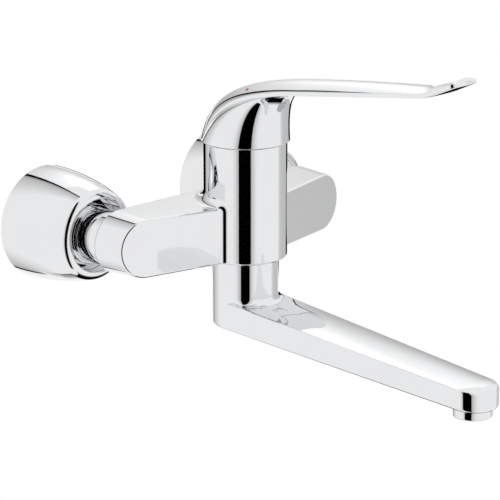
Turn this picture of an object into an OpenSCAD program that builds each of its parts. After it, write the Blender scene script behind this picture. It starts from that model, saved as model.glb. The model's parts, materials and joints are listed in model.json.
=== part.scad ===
// Wall-mounted single-lever mixer with a long elbow lever and a swivel spout.
// X runs along the wall, -Y points out from the wall and Z is up. The origin lies on
// the wall, midway between the two supply connections. Sizes are in millimetres.

/* [Wall connections] */
// Distance between the hot and the cold supply
inlet_spacing = 150; // [146:0.5:160]
// Drop from the supply axis to the tap's inlet axis
union_drop = 8; // [5:0.5:10]
// Outer radius of the wall thread
wall_thread_r = 10.48; // [10:0.01:11]
// Length of wall thread inside the wall
wall_thread_len = 18; // [14:1:24]
// Radius of the water way at the wall
wall_bore_r = 7; // [5:0.25:7.5]
// Outer radius of the tap-side thread
tap_thread_r = 13.2; // [12.8:0.05:13.6]
// Radius of the water way at the tap
tap_bore_r = 9; // [8:0.25:10]
// Distance from the wall to the union's sealing face
union_reach = 52; // [50:0.5:56]
// Thickness of the union washer
washer_t = 2; // [1.5:0.25:3]

/* [Escutcheons] */
// Radius at the wall
bell_back_r = 34.6; // [33:0.1:38]
// Radius at the front rim
bell_front_r = 26.9; // [25.5:0.1:29]
// Depth from the wall to the front rim
bell_depth = 49.7; // [47:0.1:51]
// Wall thickness of the bell
bell_wall = 1.4; // [1:0.1:2]
// Radius of the recess round the nut
recess_r = 22.2; // [20:0.1:23]
// Depth of that recess
recess_depth = 7.5; // [6:0.1:9]

/* [Union nuts] */
// Outer radius of the smooth nut
nut_r = 16.6; // [16:0.1:17.5]
// Radius of the collar inside the recess
collar_r = 18.4; // [17.8:0.1:19]
// Length of that collar
collar_len = 2.6; // [2:0.1:4]
// Outer radius of the nipple's tube
nipple_r = 10.9; // [10.4:0.1:11.3]
// Wall of the nipple
nipple_wall = 2.6; // [2:0.1:3.5]
// Thickness of the nipple's flange
flange_t = 3; // [2.5:0.1:4]
// Length of nipple screwed into the arm
nipple_engage = 11; // [9:0.5:12]

/* [Cross arm] */
// Distance from the wall to the arm's back face
arm_back = 65.5; // [64:0.1:67]
// Half height of the arm at its back face
arm_half_h = 19.2; // [18.6:0.1:20]
// Draft of the arm's top and bottom
arm_draft = 3.2; // [2.5:0.1:3.8]
// Distance from the wall to the fold of the arm's front
arm_front = 110.8; // [109:0.1:113]
// Angle that each front face is swept back
arm_sweep = 13.75; // [11:0.25:15]
// Radius of the water way along the arm
arm_bore_r = 4.5; // [4:0.25:5]
// Fillet between front face and tower
front_fillet = 4; // [3:0.25:5]
// Cove between the arm's top and the tower
top_cove = 5; // [4:0.25:6]

/* [Tower] */
// Distance from the wall to the tower's axis
tower_reach = 98.5; // [97:0.1:100]
// Outer radius of the tower
tower_r = 25.25; // [24.75:0.05:27]
// Height of the tower above the inlet axis
tower_top = 54; // [53:0.5:58]
// Depth of the tower's foot below the inlet axis
tower_foot = 17.4; // [17:0.1:18]

/* [Cartridge] */
// Radius of the cartridge body
cartridge_r = 17.8; // [17.4:0.1:18.2]
// Thickness of the cartridge base
base_t = 5; // [4.5:0.1:5.5]
// Thickness of each ceramic disc
disc_t = 3; // [2.6:0.1:3.4]
// Height of the disc carrier
carrier_h = 5.4; // [5:0.1:6]
// Wall of the cartridge housing
housing_wall = 2.3; // [1.9:0.1:2.6]
// Thickness of the housing's top
housing_top_t = 3; // [2.5:0.1:3.5]
// Height of the guide's neck above the housing
guide_rise = 3.2; // [2.8:0.1:3.6]
// Radius of the hot, cold and mixed-water ports
port_r = 2.4; // [2.2:0.05:2.5]
// Turn of the lever to either side
lever_turn = 50; // [45:1:52]
// Radius of the thread of the cartridge nut
nut_thread_r = 19.6; // [19.3:0.1:20]
// Height of the nut's hexagon
hex_h = 3.4; // [3:0.1:4]

/* [Lever joint] */
// Lean of the spindle when the tap is shut
shut_lean = 12; // [10:0.5:13]
// Depth of the spindle pin below the tower's top
pin_drop = 14; // [13.5:0.25:14.5]
// Radius of the spindle pin
pin_r = 2; // [1.8:0.1:2.2]
// Width of the square spindle
spindle_w = 8; // [7.5:0.1:8.4]
// Height of the spindle's top over the handle's rim
spindle_rise = 26; // [25:0.1:26.4]
// Distance from the pin to the ball below it
ball_drop = 13; // [12.5:0.1:13.3]
// Radius of that ball
ball_r = 2.4; // [2.2:0.1:2.6]

/* [Handle] */
// Gap between the tower and the handle
handle_gap = 0.6; // [0.5:0.1:1]
// Overhang of the handle's rim over the tower
rim_over = 1.6; // [1.5:0.05:2]
// Half width of the top strap where it leaves the rim
strap_root_w = 19; // [18.5:0.1:19.5]
// Half width of the strap at the end of the neck
strap_neck_w = 15.2; // [14.6:0.1:16]
// Half width of the blade at the bend
blade_bend_w = 12.4; // [11.8:0.1:13]
// Half width of the tip
tip_w = 10.8; // [10:0.1:11.4]
// Height of the strap's edge over the rim, at the end of the neck
neck_rise = 40.1; // [39:0.1:42]
// Distance from the tower's axis to the end of the neck
neck_reach = 58; // [56:0.5:60]
// Distance from the tower's axis to the bend
bend_reach = 151; // [120:1:170]
// Rise of the blade, in degrees
blade_rise = 7.8; // [6:0.1:9]
// Length of the upturned tip
tip_len = 22; // [18:0.5:28]
// Rise of the tip, in degrees
tip_rise = 24; // [18:0.5:28]
// Extra crown over the back of the neck
neck_swell = 3.2; // [2.6:0.1:3.6]
// Crown of the blade at the end of the neck
neck_crown = 5.3; // [4.8:0.1:5.8]
// Crown of the blade at the bend
bend_crown = 2.8; // [2.4:0.1:3.2]
// Crown of the blade at the tip
tip_crown = 1.6; // [1.2:0.1:2]
// Thickness of the blade's edge
edge_t = 2.2; // [1.8:0.1:2.6]
// Depth of the blade's rounded underside
belly = 0.6; // [0.4:0.1:1]
// Height of the hollow inside the neck
hollow_h = 13.4; // [13:0.1:14]
// Radius of the grub screw
grub_r = 2.5; // [2.4:0.1:2.8]
// Length of the grub screw
grub_len = 9; // [8:0.5:10]
// Height of the grub screw over the rim
grub_rise = 24.6; // [24:0.1:25]
// Radius of the plug over the grub screw
plug_r = 3.2; // [3:0.1:3.5]
// Radius of each index inlay
mark_r = 1.1; // [0.9:0.1:1.3]
// Distance of each index inlay from the handle's middle
mark_x = 10.3; // [9:0.1:11]

/* [Spout] */
// Radius of the hub
hub_r = 20.3; // [19.5:0.1:21.5]
// Distance from the tower's axis to the outlet
spout_reach = 181; // [150:1:220]
// Radius of the rounded end
spout_tip_r = 15; // [14.4:0.1:16]
// Depth of the bar's top below the inlet axis, at the hub
bar_top_root = 42.5; // [41.5:0.1:43.5]
// Depth of the bar's bottom below the inlet axis, at the hub
bar_bottom_root = 60.3; // [59.5:0.1:63]
// Depth of the bar's top below the inlet axis, at the end
bar_top_tip = 57.6; // [56.6:0.1:58.2]
// Depth of the bar's bottom below the inlet axis, at the end
bar_bottom_tip = 70.4; // [69.8:0.1:72]
// Radius of the water way at the hub
spout_bore_r = 6; // [5:0.1:6.4]
// Radius of the water way at the end
spout_bore_tip_r = 4; // [3.5:0.1:4.4]
// Radius of the spigot that the hub turns on
spigot_r = 13; // [12.5:0.1:13.4]
// Thickness of the glide ring
glide_t = 0.9; // [0.7:0.1:1.2]
// Thickness of the O-rings
ring_d = 2.4; // [2:0.1:2.6]
// Thickness of the retaining clip
clip_t = 1.2; // [1:0.1:1.4]

/* [Aerator] */
// Radius of the aerator housing
aerator_r = 11.65; // [11.2:0.05:12.2]
// Height of the housing below the spout
aerator_h = 6; // [5:0.1:7]
// Radius of its thread
aerator_thread_r = 9.6; // [9.3:0.1:9.8]
// Length of its thread
aerator_thread_len = 5; // [4:0.1:5.4]
// Wall of the housing
aerator_wall = 1.5; // [1.2:0.1:1.7]
// Thickness of the screen
screen_t = 0.8; // [0.6:0.1:1]
// Thickness of the gasket above the housing
gasket_t = 2.4; // [2:0.1:2.6]

/* [Hidden] */
$fn = 96;

CHROME = [0.86, 0.87, 0.88];
BRASS = [0.78, 0.66, 0.36];
RUBBER = [0.12, 0.12, 0.12];
CERAMIC = [0.93, 0.93, 0.90];
STEEL = [0.70, 0.71, 0.73];
WHITE_PLASTIC = [0.90, 0.90, 0.88];
GREY_PLASTIC = [0.62, 0.63, 0.64];

// Clearance of screwed and sliding fits, and of faces on different moving bodies
fit = 0.05;
face_gap = 0.3;
// Overshoot of cuts past the surface that they open
over = 1;

// Union nut and nipple, measured from the wall along the inlet axis
flange_y = union_reach + washer_t;
shoulder_y = flange_y + flange_t;
bell_floor_y = bell_depth - recess_depth;
collar_y = bell_floor_y + face_gap;
nipple_bore_r = nipple_r - nipple_wall;

// Heights of the cartridge's layers above the inlet axis, from the pin downwards
pin_z = tower_top - pin_drop;
carrier_floor_t = 1.2;
carrier_z = pin_z - ball_drop - ball_r - face_gap - carrier_floor_t;
moving_z = carrier_z - disc_t;
fixed_z = moving_z - fit - disc_t;
base_z = fixed_z - base_t;
chamber_floor = base_z - fit;
guide_z = carrier_z + carrier_h + face_gap;

// The moving disc's centre lies behind the axis when shut and slides ahead of it
ball_ahead = -ball_drop * sin(shut_lean);
housing_inner_r = cartridge_r - housing_wall;
guide_r = housing_inner_r - 2 * fit;
guide_neck_r = housing_inner_r - 2.5;
fixed_disc_r = housing_inner_r - 1;
moving_disc_r = housing_inner_r + ball_ahead - 0.4;

// The ports stay under the moving disc, and shut ports stay clear of its pocket
port_angle = 45;
port_ring_r = moving_disc_r + ball_ahead - port_r;
shut_reach = sqrt(
    pow(port_ring_r, 2) + pow(ball_ahead, 2)
    + 2 * port_ring_r * ball_ahead * cos(180 - port_angle - lever_turn)
);
pocket_r = shut_reach - port_r;
port_x = port_ring_r * sin(port_angle);
port_ahead = port_ring_r * cos(port_angle);
housing_top_z = pin_z + pin_r + 1.5 + housing_top_t;
shelf_z = housing_top_z - housing_top_t - fit;
guide_top_z = housing_top_z + guide_rise;
limiter_t = 2.4;
nut_z = housing_top_z + fit;
nut_hole_r = guide_neck_r + 1.2;
hex_r = 17.8;
cover_wall = 1;
cover_top_z = tower_top + hex_h + 2;
seal_t = 1.5;
seal_wall = 1;

// Handle, measured from the tower's axis and from the rim
rim_r = tower_r + rim_over;
rim_z = tower_top + handle_gap;
skirt_clear = 0.45;
skirt_r = tower_r + skirt_clear;
grub_z = rim_z + grub_rise;
spindle_len = (rim_z + spindle_rise - pin_z) / cos(shut_lean);
spindle_top_gap = 0.4;

// Spigot and hub, heights below the inlet axis given as negative z
glide_z = -tower_foot - glide_t;
hub_top_z = glide_z - fit;
spigot_bottom_z = -bar_top_root - 1.5;
clip_z = spigot_bottom_z + 1.2;
shoulder_z = clip_z + clip_t + face_gap;
foot_face_margin = 1.2;
spigot_bore_r = 7;
spigot_thread_r = 10.5;
spigot_thread_len = 9;
clip_groove_r = spigot_r - 1.5;
clip_outer_r = spigot_r + 1.5;
ring_groove_r = spigot_r - ring_d + 0.15;
ring_z = [hub_top_z - 6, hub_top_z - 12];

// Aerator, heights below the inlet axis given as negative z
outlet_z = -bar_bottom_tip - aerator_h;
stub_top_z = -bar_bottom_tip + aerator_thread_len;
socket_top_z = stub_top_z + gasket_t;
insert_r = aerator_thread_r - aerator_wall - fit;

module at_inlet(side) {
    translate([side * inlet_spacing / 2, 0, -union_drop]) rotate([90, 0, 0]) children();
}

module at_supply(side) {
    translate([side * inlet_spacing / 2, 0, 0]) rotate([90, 0, 0]) children();
}

module at_tower() {
    translate([0, -tower_reach, -union_drop]) children();
}

module ring(outer, inner, h) {
    difference() {
        cylinder(r = outer, h = h);
        translate([0, 0, -over]) cylinder(r = inner, h = h + 2 * over);
    }
}

// Places the three ports of the cartridge: hot, cold and mixed water in the middle
module at_ports() {
    for (side = [-1, 1]) translate([side * port_x, -port_ahead, 0]) children();
    children();
}

// Wall side

module wall_union(side) {
    neck_len = 8;
    step_len = 26;
    cross_len = 20;
    color(BRASS) difference() {
        union() {
            at_supply(side) translate([0, 0, -wall_thread_len])
                cylinder(r = wall_thread_r, h = wall_thread_len + neck_len);
            at_supply(side) translate([0, 0, neck_len])
                cylinder(r = wall_thread_r + 2, h = step_len - neck_len);
            at_inlet(side) translate([0, 0, neck_len])
                cylinder(r = tap_thread_r, h = union_reach - neck_len);
        }
        at_supply(side) translate([0, 0, -wall_thread_len - over])
            cylinder(r = wall_bore_r, h = wall_thread_len + cross_len + over);
        at_inlet(side) translate([0, 0, cross_len - neck_len])
            cylinder(r = tap_bore_r, h = union_reach);
    }
}

// Half section of the bell: a long arc that leaves the wall squarely
module bell_section() {
    drop = bell_back_r - bell_front_r;
    arc_r = (bell_depth * bell_depth + drop * drop) / (2 * drop);
    cup_r = recess_r + bell_wall;
    difference() {
        intersection() {
            translate([bell_back_r - arc_r, 0]) circle(r = arc_r, $fn = 720);
            square([bell_back_r + over, bell_depth]);
        }
        difference() {
            intersection() {
                translate([bell_back_r - arc_r, 0]) circle(r = arc_r - bell_wall, $fn = 720);
                translate([0, -over]) square([bell_back_r, bell_depth - bell_wall + over]);
            }
            translate([0, bell_floor_y - bell_wall]) square([cup_r, bell_depth]);
        }
        translate([-over, bell_floor_y]) square([recess_r + over, bell_depth]);
        translate([-over, -over]) square([tap_thread_r + fit + over, bell_depth + over]);
    }
}

module escutcheon(side) {
    color(CHROME) at_inlet(side) rotate_extrude() bell_section();
}

module union_nut(side) {
    notch_w = 4;
    color(CHROME) at_inlet(side) difference() {
        union() {
            translate([0, 0, collar_y]) cylinder(r = collar_r, h = collar_len);
            translate([0, 0, collar_y]) cylinder(r = nut_r, h = arm_back - face_gap - collar_y);
        }
        for (turn = [0, 180]) rotate([0, 0, turn]) translate([nut_r, -notch_w / 2, collar_y - over])
            cube([collar_r, notch_w, collar_len + over]);
        translate([0, 0, collar_y - over])
            cylinder(r = tap_thread_r + fit, h = shoulder_y + fit - collar_y + over);
        cylinder(r = nipple_r + fit, h = arm_back + over);
    }
}

module union_washer(side) {
    color(RUBBER) at_inlet(side) translate([0, 0, union_reach])
        ring(tap_thread_r - 0.6, nipple_bore_r, washer_t);
}

module inlet_nipple(side) {
    color(BRASS) at_inlet(side) translate([0, 0, flange_y]) difference() {
        union() {
            cylinder(r = tap_thread_r - 0.6, h = flange_t);
            cylinder(r = nipple_r, h = arm_back + nipple_engage - flange_y);
        }
        translate([0, 0, -over]) cylinder(r = nipple_bore_r, h = arm_back);
    }
}

// Body

// Half height of the arm at a distance from the wall
function arm_half(y) = arm_half_h - (y - arm_back) * tan(arm_draft);

module arm_section() {
    polygon([
        [arm_back, -arm_half(arm_back)], [arm_front, -arm_half(arm_front)],
        [arm_front, arm_half(arm_front)], [arm_back, arm_half(arm_back)]
    ]);
}

// Drafted bar between the inlets with a half cone on each end
module arm_bar() {
    half = inlet_spacing / 2;
    translate([-half, 0, 0]) rotate([90, 0, 90]) linear_extrude(inlet_spacing)
        mirror([1, 0]) arm_section();
    for (side = [0, 1]) mirror([side, 0, 0]) translate([half, 0, 0]) rotate([90, 0, 0])
        rotate([0, 0, -90]) rotate_extrude(angle = 180) intersection() {
            mirror([1, -1]) arm_section();
            square([arm_half_h + over, arm_front + over]);
        }
}

// Plan of the arm: swept front faces, straight back, fillets to the tower
module arm_plan() {
    end_x = inlet_spacing / 2 + arm_half_h + over;
    polygon([
        [-end_x, -arm_back], [end_x, -arm_back],
        [end_x, -arm_front + end_x * tan(arm_sweep)], [0, -arm_front],
        [-end_x, -arm_front + end_x * tan(arm_sweep)]
    ]);
    behind = (arm_front - tower_reach) * cos(arm_sweep);
    run = sqrt(pow(tower_r + front_fillet, 2) - pow(front_fillet + behind, 2));
    share = tower_r / (tower_r + front_fillet);
    foot = (arm_front - tower_reach) * sin(arm_sweep);
    for (side = [0, 1]) mirror([side, 0]) translate([0, -arm_front]) rotate(arm_sweep)
        translate([foot, 0]) difference() {
            polygon([
                [run, 0], [run * share, -(behind + front_fillet) * share + behind],
                [run * share, front_fillet], [run, front_fillet]
            ]);
            translate([run, -front_fillet]) circle(r = front_fillet);
        }
}

module tower_cove() {
    top = arm_half(tower_reach);
    sink = 3;
    at_r = tower_r + top_cove;
    rotate_extrude() difference() {
        translate([tower_r - over, top - sink]) square([top_cove + over, sink + top_cove]);
        translate([at_r, top + top_cove]) circle(r = top_cove);
    }
}

// Slanted water way from an inlet to its port under the cartridge
module arm_water_way() {
    start = [inlet_spacing / 2, -arm_back - nipple_engage - arm_bore_r];
    end = [port_x, -tower_reach - port_ahead];
    run = end - start;
    translate([start[0], start[1], 0]) rotate([0, 0, atan2(run[1], run[0])])
        rotate([0, 90, 0]) cylinder(r = arm_bore_r, h = norm(run));
    translate([end[0], end[1], -arm_bore_r / 2])
        cylinder(r = port_r, h = chamber_floor + over + arm_bore_r / 2);
}

module body_casting() {
    color(CHROME) translate([0, 0, -union_drop]) difference() {
        union() {
            translate([0, -tower_reach, -tower_foot]) cylinder(r = tower_r, h = tower_foot + tower_top);
            intersection() {
                arm_bar();
                translate([0, 0, -arm_half_h - over]) linear_extrude(2 * (arm_half_h + over)) arm_plan();
            }
            intersection() {
                translate([0, -tower_reach, 0]) tower_cove();
                linear_extrude(tower_top) arm_plan();
            }
        }
        translate([0, -tower_reach, chamber_floor]) cylinder(r = cartridge_r + 2 * fit, h = tower_top);
        translate([0, -tower_reach, nut_z - over]) cylinder(r = nut_thread_r + fit, h = tower_top);
        translate([0, -tower_reach, -tower_foot])
            cylinder(r = port_r, h = tower_foot + chamber_floor + over);
        translate([0, -tower_reach, -tower_foot - over])
            cylinder(r = spigot_thread_r + fit, h = spigot_thread_len + over);
        translate([0, -tower_reach, -arm_half_h - over])
            cylinder(r = hub_r + foot_face_margin, h = arm_half_h + over - tower_foot);
        for (side = [0, 1]) mirror([side, 0, 0]) {
            arm_water_way();
            translate([inlet_spacing / 2, -arm_back + over, 0]) rotate([90, 0, 0])
                cylinder(r = nipple_r + fit, h = nipple_engage + over + fit);
            translate([inlet_spacing / 2, -arm_back, 0]) rotate([90, 0, 0])
                cylinder(r = nipple_bore_r, h = nipple_engage + 2 * arm_bore_r);
        }
    }
}

// Cartridge

module cartridge_base() {
    color(WHITE_PLASTIC) at_tower() difference() {
        translate([0, 0, base_z]) cylinder(r = cartridge_r, h = base_t);
        at_ports() translate([0, 0, base_z - over]) cylinder(r = port_r, h = base_t + 2 * over);
        at_ports() translate([0, 0, base_z - over])
            cylinder(r = port_r + seal_wall + fit, h = seal_t + over);
    }
}

module port_seals() {
    color(RUBBER) at_tower() at_ports() translate([0, 0, chamber_floor])
        ring(port_r + seal_wall, port_r, base_z + seal_t - chamber_floor);
}

module fixed_disc() {
    color(CERAMIC) at_tower() difference() {
        translate([0, 0, fixed_z]) cylinder(r = fixed_disc_r, h = disc_t);
        at_ports() translate([0, 0, fixed_z - over]) cylinder(r = port_r, h = disc_t + 2 * over);
    }
}

// The moving disc joins the ports through a pocket in its underside
module moving_disc() {
    color(CERAMIC) at_tower() translate([0, -ball_ahead, moving_z]) difference() {
        cylinder(r = moving_disc_r, h = disc_t);
        translate([0, 0, -over]) cylinder(r = pocket_r, h = disc_t * 0.6 + over);
    }
}

module disc_carrier() {
    seat = ball_r + fit;
    color(GREY_PLASTIC) at_tower() translate([0, -ball_ahead, carrier_z]) difference() {
        cylinder(r = moving_disc_r, h = carrier_h);
        translate([-2 * seat, -seat, carrier_floor_t]) cube([4 * seat, 2 * seat, carrier_h]);
    }
}

module cartridge_housing() {
    color(WHITE_PLASTIC) at_tower() difference() {
        translate([0, 0, fixed_z]) cylinder(r = cartridge_r, h = housing_top_z - fixed_z);
        translate([0, 0, fixed_z - over])
            cylinder(r = housing_inner_r, h = housing_top_z - housing_top_t - fixed_z + over);
        cylinder(r = guide_neck_r + 2 * fit, h = housing_top_z + over);
    }
}

// Half length of the guide's slot, wide enough for the spindle's whole swing
guide_slot = (guide_top_z - pin_z) * tan(shut_lean) + spindle_w / 2 / cos(shut_lean) + 2 * face_gap;

module turning_guide() {
    slot_w = spindle_w + 2 * face_gap;
    color(GREY_PLASTIC) at_tower() difference() {
        union() {
            translate([0, 0, guide_z]) cylinder(r = guide_r, h = shelf_z - guide_z);
            translate([0, 0, guide_z]) cylinder(r = guide_neck_r, h = guide_top_z - guide_z);
        }
        translate([-slot_w / 2, -guide_slot, guide_z - over])
            cube([slot_w, 2 * guide_slot, guide_top_z - guide_z + 2 * over]);
        translate([-guide_r - over, 0, pin_z]) rotate([0, 90, 0])
            cylinder(r = pin_r + fit, h = 2 * (guide_r + over));
    }
}

// Square bar on the pin with a ball-ended finger below it
module lever_spindle() {
    below = pin_r + 2.5;
    color(STEEL) at_tower() translate([0, 0, pin_z]) rotate([shut_lean, 0, 0]) difference() {
        union() {
            translate([-spindle_w / 2, -spindle_w / 2, -below])
                cube([spindle_w, spindle_w, below + spindle_len]);
            translate([0, 0, -ball_drop]) cylinder(r = ball_r * 0.75, h = ball_drop - below + over);
            translate([0, 0, -ball_drop]) sphere(r = ball_r);
        }
        translate([-spindle_w, 0, 0]) rotate([0, 90, 0]) cylinder(r = pin_r + fit, h = 2 * spindle_w);
    }
}

module spindle_pin() {
    half = guide_r - 1;
    color(STEEL) at_tower() translate([-half, 0, pin_z]) rotate([0, 90, 0])
        cylinder(r = pin_r, h = 2 * half);
}

module temperature_limiter() {
    teeth = 24;
    color([0.75, 0.20, 0.16]) at_tower() translate([0, 0, guide_top_z]) difference() {
        cylinder(r = guide_neck_r, h = limiter_t);
        translate([0, 0, -over]) cylinder(r = guide_neck_r - 3, h = limiter_t + 2 * over);
        for (i = [0 : teeth - 1]) rotate([0, 0, i * 360 / teeth])
            translate([guide_neck_r - 0.5, -0.4, -over]) cube([over, 0.8, limiter_t + 2 * over]);
    }
}

module cartridge_nut() {
    color(BRASS) at_tower() difference() {
        union() {
            translate([0, 0, nut_z]) cylinder(r = nut_thread_r, h = tower_top - nut_z);
            translate([0, 0, nut_z]) cylinder(r = hex_r, h = tower_top + hex_h - nut_z, $fn = 6);
        }
        translate([0, 0, nut_z - over]) cylinder(r = nut_hole_r, h = tower_top);
    }
}

// Low cone that hides the nut when the lever is lifted
module cover_ring() {
    foot_r = tower_r - 0.7;
    shoulder_r = hex_r + 1.6;
    foot_h = 1.2;
    color(CHROME) at_tower() rotate_extrude() polygon([
        [foot_r - 3.5, tower_top], [foot_r, tower_top], [foot_r, tower_top + foot_h],
        [shoulder_r, cover_top_z], [nut_hole_r + 1, cover_top_z],
        [nut_hole_r + 1, cover_top_z - cover_wall], [shoulder_r - 0.6, cover_top_z - cover_wall],
        [foot_r - 3.5, tower_top + foot_h]
    ]);
}

// Handle. Every curve lies in the plane of symmetry as [ahead of the axis, over the rim].

function bezier(p, t) =
    pow(1 - t, 3) * p[0] + 3 * pow(1 - t, 2) * t * p[1] + 3 * (1 - t) * t * t * p[2] + pow(t, 3) * p[3];
function slope_dir(a) = [cos(a), sin(a)];
function normal_of(d) = [-d[1], d[0]] / norm(d);
function mix(a, b, t) = a + (b - a) * t;

// The strap's edge climbs over the back of the neck and runs out into the blade
strap_start = [-sqrt(rim_r * rim_r - strap_root_w * strap_root_w), 0];
neck_end = [neck_reach, neck_rise];
strap_curve = [
    strap_start, strap_start + 21.4 * slope_dir(67.7),
    neck_end - 57.5 * slope_dir(blade_rise), neck_end
];
// The front of the neck rises from the rim and flares into the blade's underside
neck_under = neck_end - (edge_t + belly) * normal_of(slope_dir(blade_rise));
front_curve = [
    [rim_r, 0], [rim_r, 0] + 37.2 * slope_dir(92),
    neck_under - 17.9 * slope_dir(blade_rise), neck_under
];
bend_point = neck_end + (bend_reach - neck_reach) * [1, tan(blade_rise)];
tip_point = bend_point + tip_len * slope_dir(tip_rise);
bend_soft = 5;
tip_soft = 4;
neck_steps = 16;
blade_steps = 6;
bend_steps = 4;
tip_steps = 4;
root_turn = 180 - asin(strap_root_w / rim_r);
root_crown = rim_r + strap_start[0];
root_edge = 0.1;
// Greatest value of t * (1 - t)^3.5, so that the swell is a height
swell_peak = 0.0922;

// A station: [edge point, outward normal, underside point, half width, crown, edge, turn]
function neck_station(t) = let (
        edge_pt = bezier(strap_curve, t),
        along = bezier(strap_curve, min(1, t + 0.01)) - bezier(strap_curve, min(1, t + 0.01) - 0.01),
        true_n = normal_of(along),
        grow = min(1, t / 0.3),
        n = mix([-1, 0], true_n, grow) / norm(mix([-1, 0], true_n, grow))
    ) [
        edge_pt, n, bezier(front_curve, t),
        mix(strap_neck_w, strap_root_w, pow(1 - t, 2.5)),
        mix(root_crown, neck_crown, t) + neck_swell * t * pow(1 - t, 3.5) / swell_peak,
        mix(root_edge, edge_t, min(1, t / 0.6)),
        mix(root_turn, 90, t)
    ];

function blade_station(pt, n, w, crown) = [pt, n, pt - (edge_t + belly) * n, w, crown, edge_t, 90];

blade_n = normal_of(slope_dir(blade_rise));
tip_n = normal_of(slope_dir(tip_rise));
bend_from = bend_point - bend_soft * slope_dir(blade_rise);
bend_to = bend_point + bend_soft * slope_dir(tip_rise);

function stations() = concat(
    [for (i = [0 : neck_steps]) neck_station(i / neck_steps)],
    [for (i = [1 : blade_steps]) let (t = i / blade_steps)
        blade_station(mix(neck_end, bend_from, t), blade_n,
            mix(strap_neck_w, blade_bend_w, t), mix(neck_crown, bend_crown, pow(t, 1.75)))],
    [for (i = [1 : bend_steps]) let (t = i / bend_steps)
        blade_station(mix(mix(bend_from, bend_point, t), mix(bend_point, bend_to, t), t),
            normal_of(slope_dir(mix(blade_rise, tip_rise, t))), blade_bend_w, bend_crown)],
    [for (i = [0 : tip_steps]) let (a = 80 * i / tip_steps)
        blade_station(tip_point - tip_soft * (1 - sin(a)) * slope_dir(tip_rise), tip_n,
            tip_w - tip_soft * (1 - cos(a)), tip_crown)]
);

under_steps = 8;
crown_steps = 6;

// Radius of the arc over the strap, and its height at a distance from the middle
function arc_r(s) = (s[3] * s[3] + s[4] * s[4]) / (2 * s[4]);
function arc_h(s, x) = sqrt(pow(arc_r(s), 2) - x * x) - arc_r(s) + s[4];

// One closed ring of points round the lever at a station
function half_ring(s) = let (
        low = s[0] - s[5] * s[1],
        depth = norm(low - s[2]),
        dir = (low - s[2]) / depth,
        a = s[3] / sin(s[6]),
        b = depth / (1 - cos(s[6]))
    ) concat(
        [for (i = [0 : under_steps]) let (f = s[6] * i / under_steps, p = s[2] + b * (1 - cos(f)) * dir)
            [a * sin(f), p[0], p[1]]],
        [for (i = [crown_steps : -1 : 0]) let (x = arc_r(s) * sin(asin(s[3] / arc_r(s)) * i / crown_steps),
            p = s[0] + arc_h(s, x) * s[1])
            [x, p[0], p[1]]]
    );
function whole_ring(s) = let (h = half_ring(s), n = len(h)) concat(
    h, [for (i = [n - 2 : -1 : 1]) [-h[i][0], h[i][1], h[i][2]]]
);

module lever_solid() {
    rings = [for (s = stations()) whole_ring(s)];
    n = len(rings[0]);
    m = len(rings);
    points = [for (r = rings) for (p = r) [p[0], -p[1], p[2]]];
    tip = rings[m - 1];
    tip_middle = [0, -(tip[0][1] + tip[under_steps + crown_steps + 1][1]) / 2,
        (tip[0][2] + tip[under_steps + crown_steps + 1][2]) / 2];
    sides = [for (j = [0 : m - 2]) for (i = [0 : n - 1]) let (k = (i + 1) % n)
        each [[j * n + i, (j + 1) * n + i, j * n + k], [j * n + k, (j + 1) * n + i, (j + 1) * n + k]]];
    foot = [[for (i = [0 : n - 1]) i]];
    cap = [for (i = [0 : n - 1]) [(m - 1) * n + i, m * n, (m - 1) * n + (i + 1) % n]];
    polyhedron(points = concat(points, [tip_middle]), faces = concat(foot, sides, cap));
}

// Place on the strap of the index inlays, red on the left and blue on the right
mark_t = 0.65;
mark_s = neck_station(mark_t);
mark_spot = mark_s[0] + arc_h(mark_s, mark_x) * mark_s[1];
mark_depth = 1;

module at_mark(side) {
    at_tower() translate([side * mark_x, -mark_spot[0], rim_z + mark_spot[1]])
        rotate([atan2(mark_s[1][0], mark_s[1][1]), 0, 0])
            rotate([0, side * asin(mark_x / arc_r(mark_s)), 0]) children();
}

// Distance ahead of the axis of the spindle's front face and of the plug's outer face
grub_seat = (grub_z - pin_z) * tan(shut_lean) + spindle_w / 2 / cos(shut_lean);
grub_start = grub_seat + grub_r * tan(shut_lean) + fit;
plug_seat = grub_start + grub_len + 3.5;
plug_t = lookup(grub_rise, [for (i = [0 : 40]) [bezier(front_curve, i / 50)[1], i / 50]]);
plug_face = bezier(front_curve, plug_t);

module along_grub(from, len, r) {
    at_tower() translate([0, -from, grub_z]) rotate([90, 0, 0]) cylinder(r = r, h = len);
}

module handle() {
    step_h = 6;
    step_r = rim_r - 4.9;
    roof_r = rim_r - 7.9;
    color(CHROME) difference() {
        at_tower() translate([0, 0, rim_z]) lever_solid();
        at_tower() translate([0, 0, rim_z - over]) cylinder(r = skirt_r, h = over);
        at_tower() translate([0, 0, rim_z]) cylinder(r1 = skirt_r, r2 = step_r, h = step_h);
        at_tower() translate([0, 0, rim_z + step_h - fit])
            cylinder(r1 = step_r, r2 = roof_r, h = hollow_h - step_h + fit);
        at_tower() translate([0, 0, pin_z]) rotate([shut_lean, 0, 0])
            translate([-spindle_w / 2 - fit, -spindle_w / 2 - fit, 0])
                cube([spindle_w + 2 * fit, spindle_w + 2 * fit, spindle_len + spindle_top_gap]);
        along_grub(grub_seat - spindle_w / 2, plug_seat - grub_seat + spindle_w / 2 + fit, grub_r + fit);
        along_grub(plug_seat, rim_r, plug_r + fit);
        for (side = [-1, 1]) at_mark(side) translate([0, 0, -mark_depth])
            cylinder(r = mark_r + fit, h = 3 * mark_depth);
    }
}

module handle_grub_screw() {
    key_r = grub_r * 0.55;
    key_len = 3;
    color(STEEL) difference() {
        along_grub(grub_start, grub_len, grub_r);
        at_tower() translate([0, -grub_start - grub_len + key_len, grub_z]) rotate([90, 0, 0])
            cylinder(r = key_r, h = key_len + over, $fn = 6);
    }
}

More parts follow.
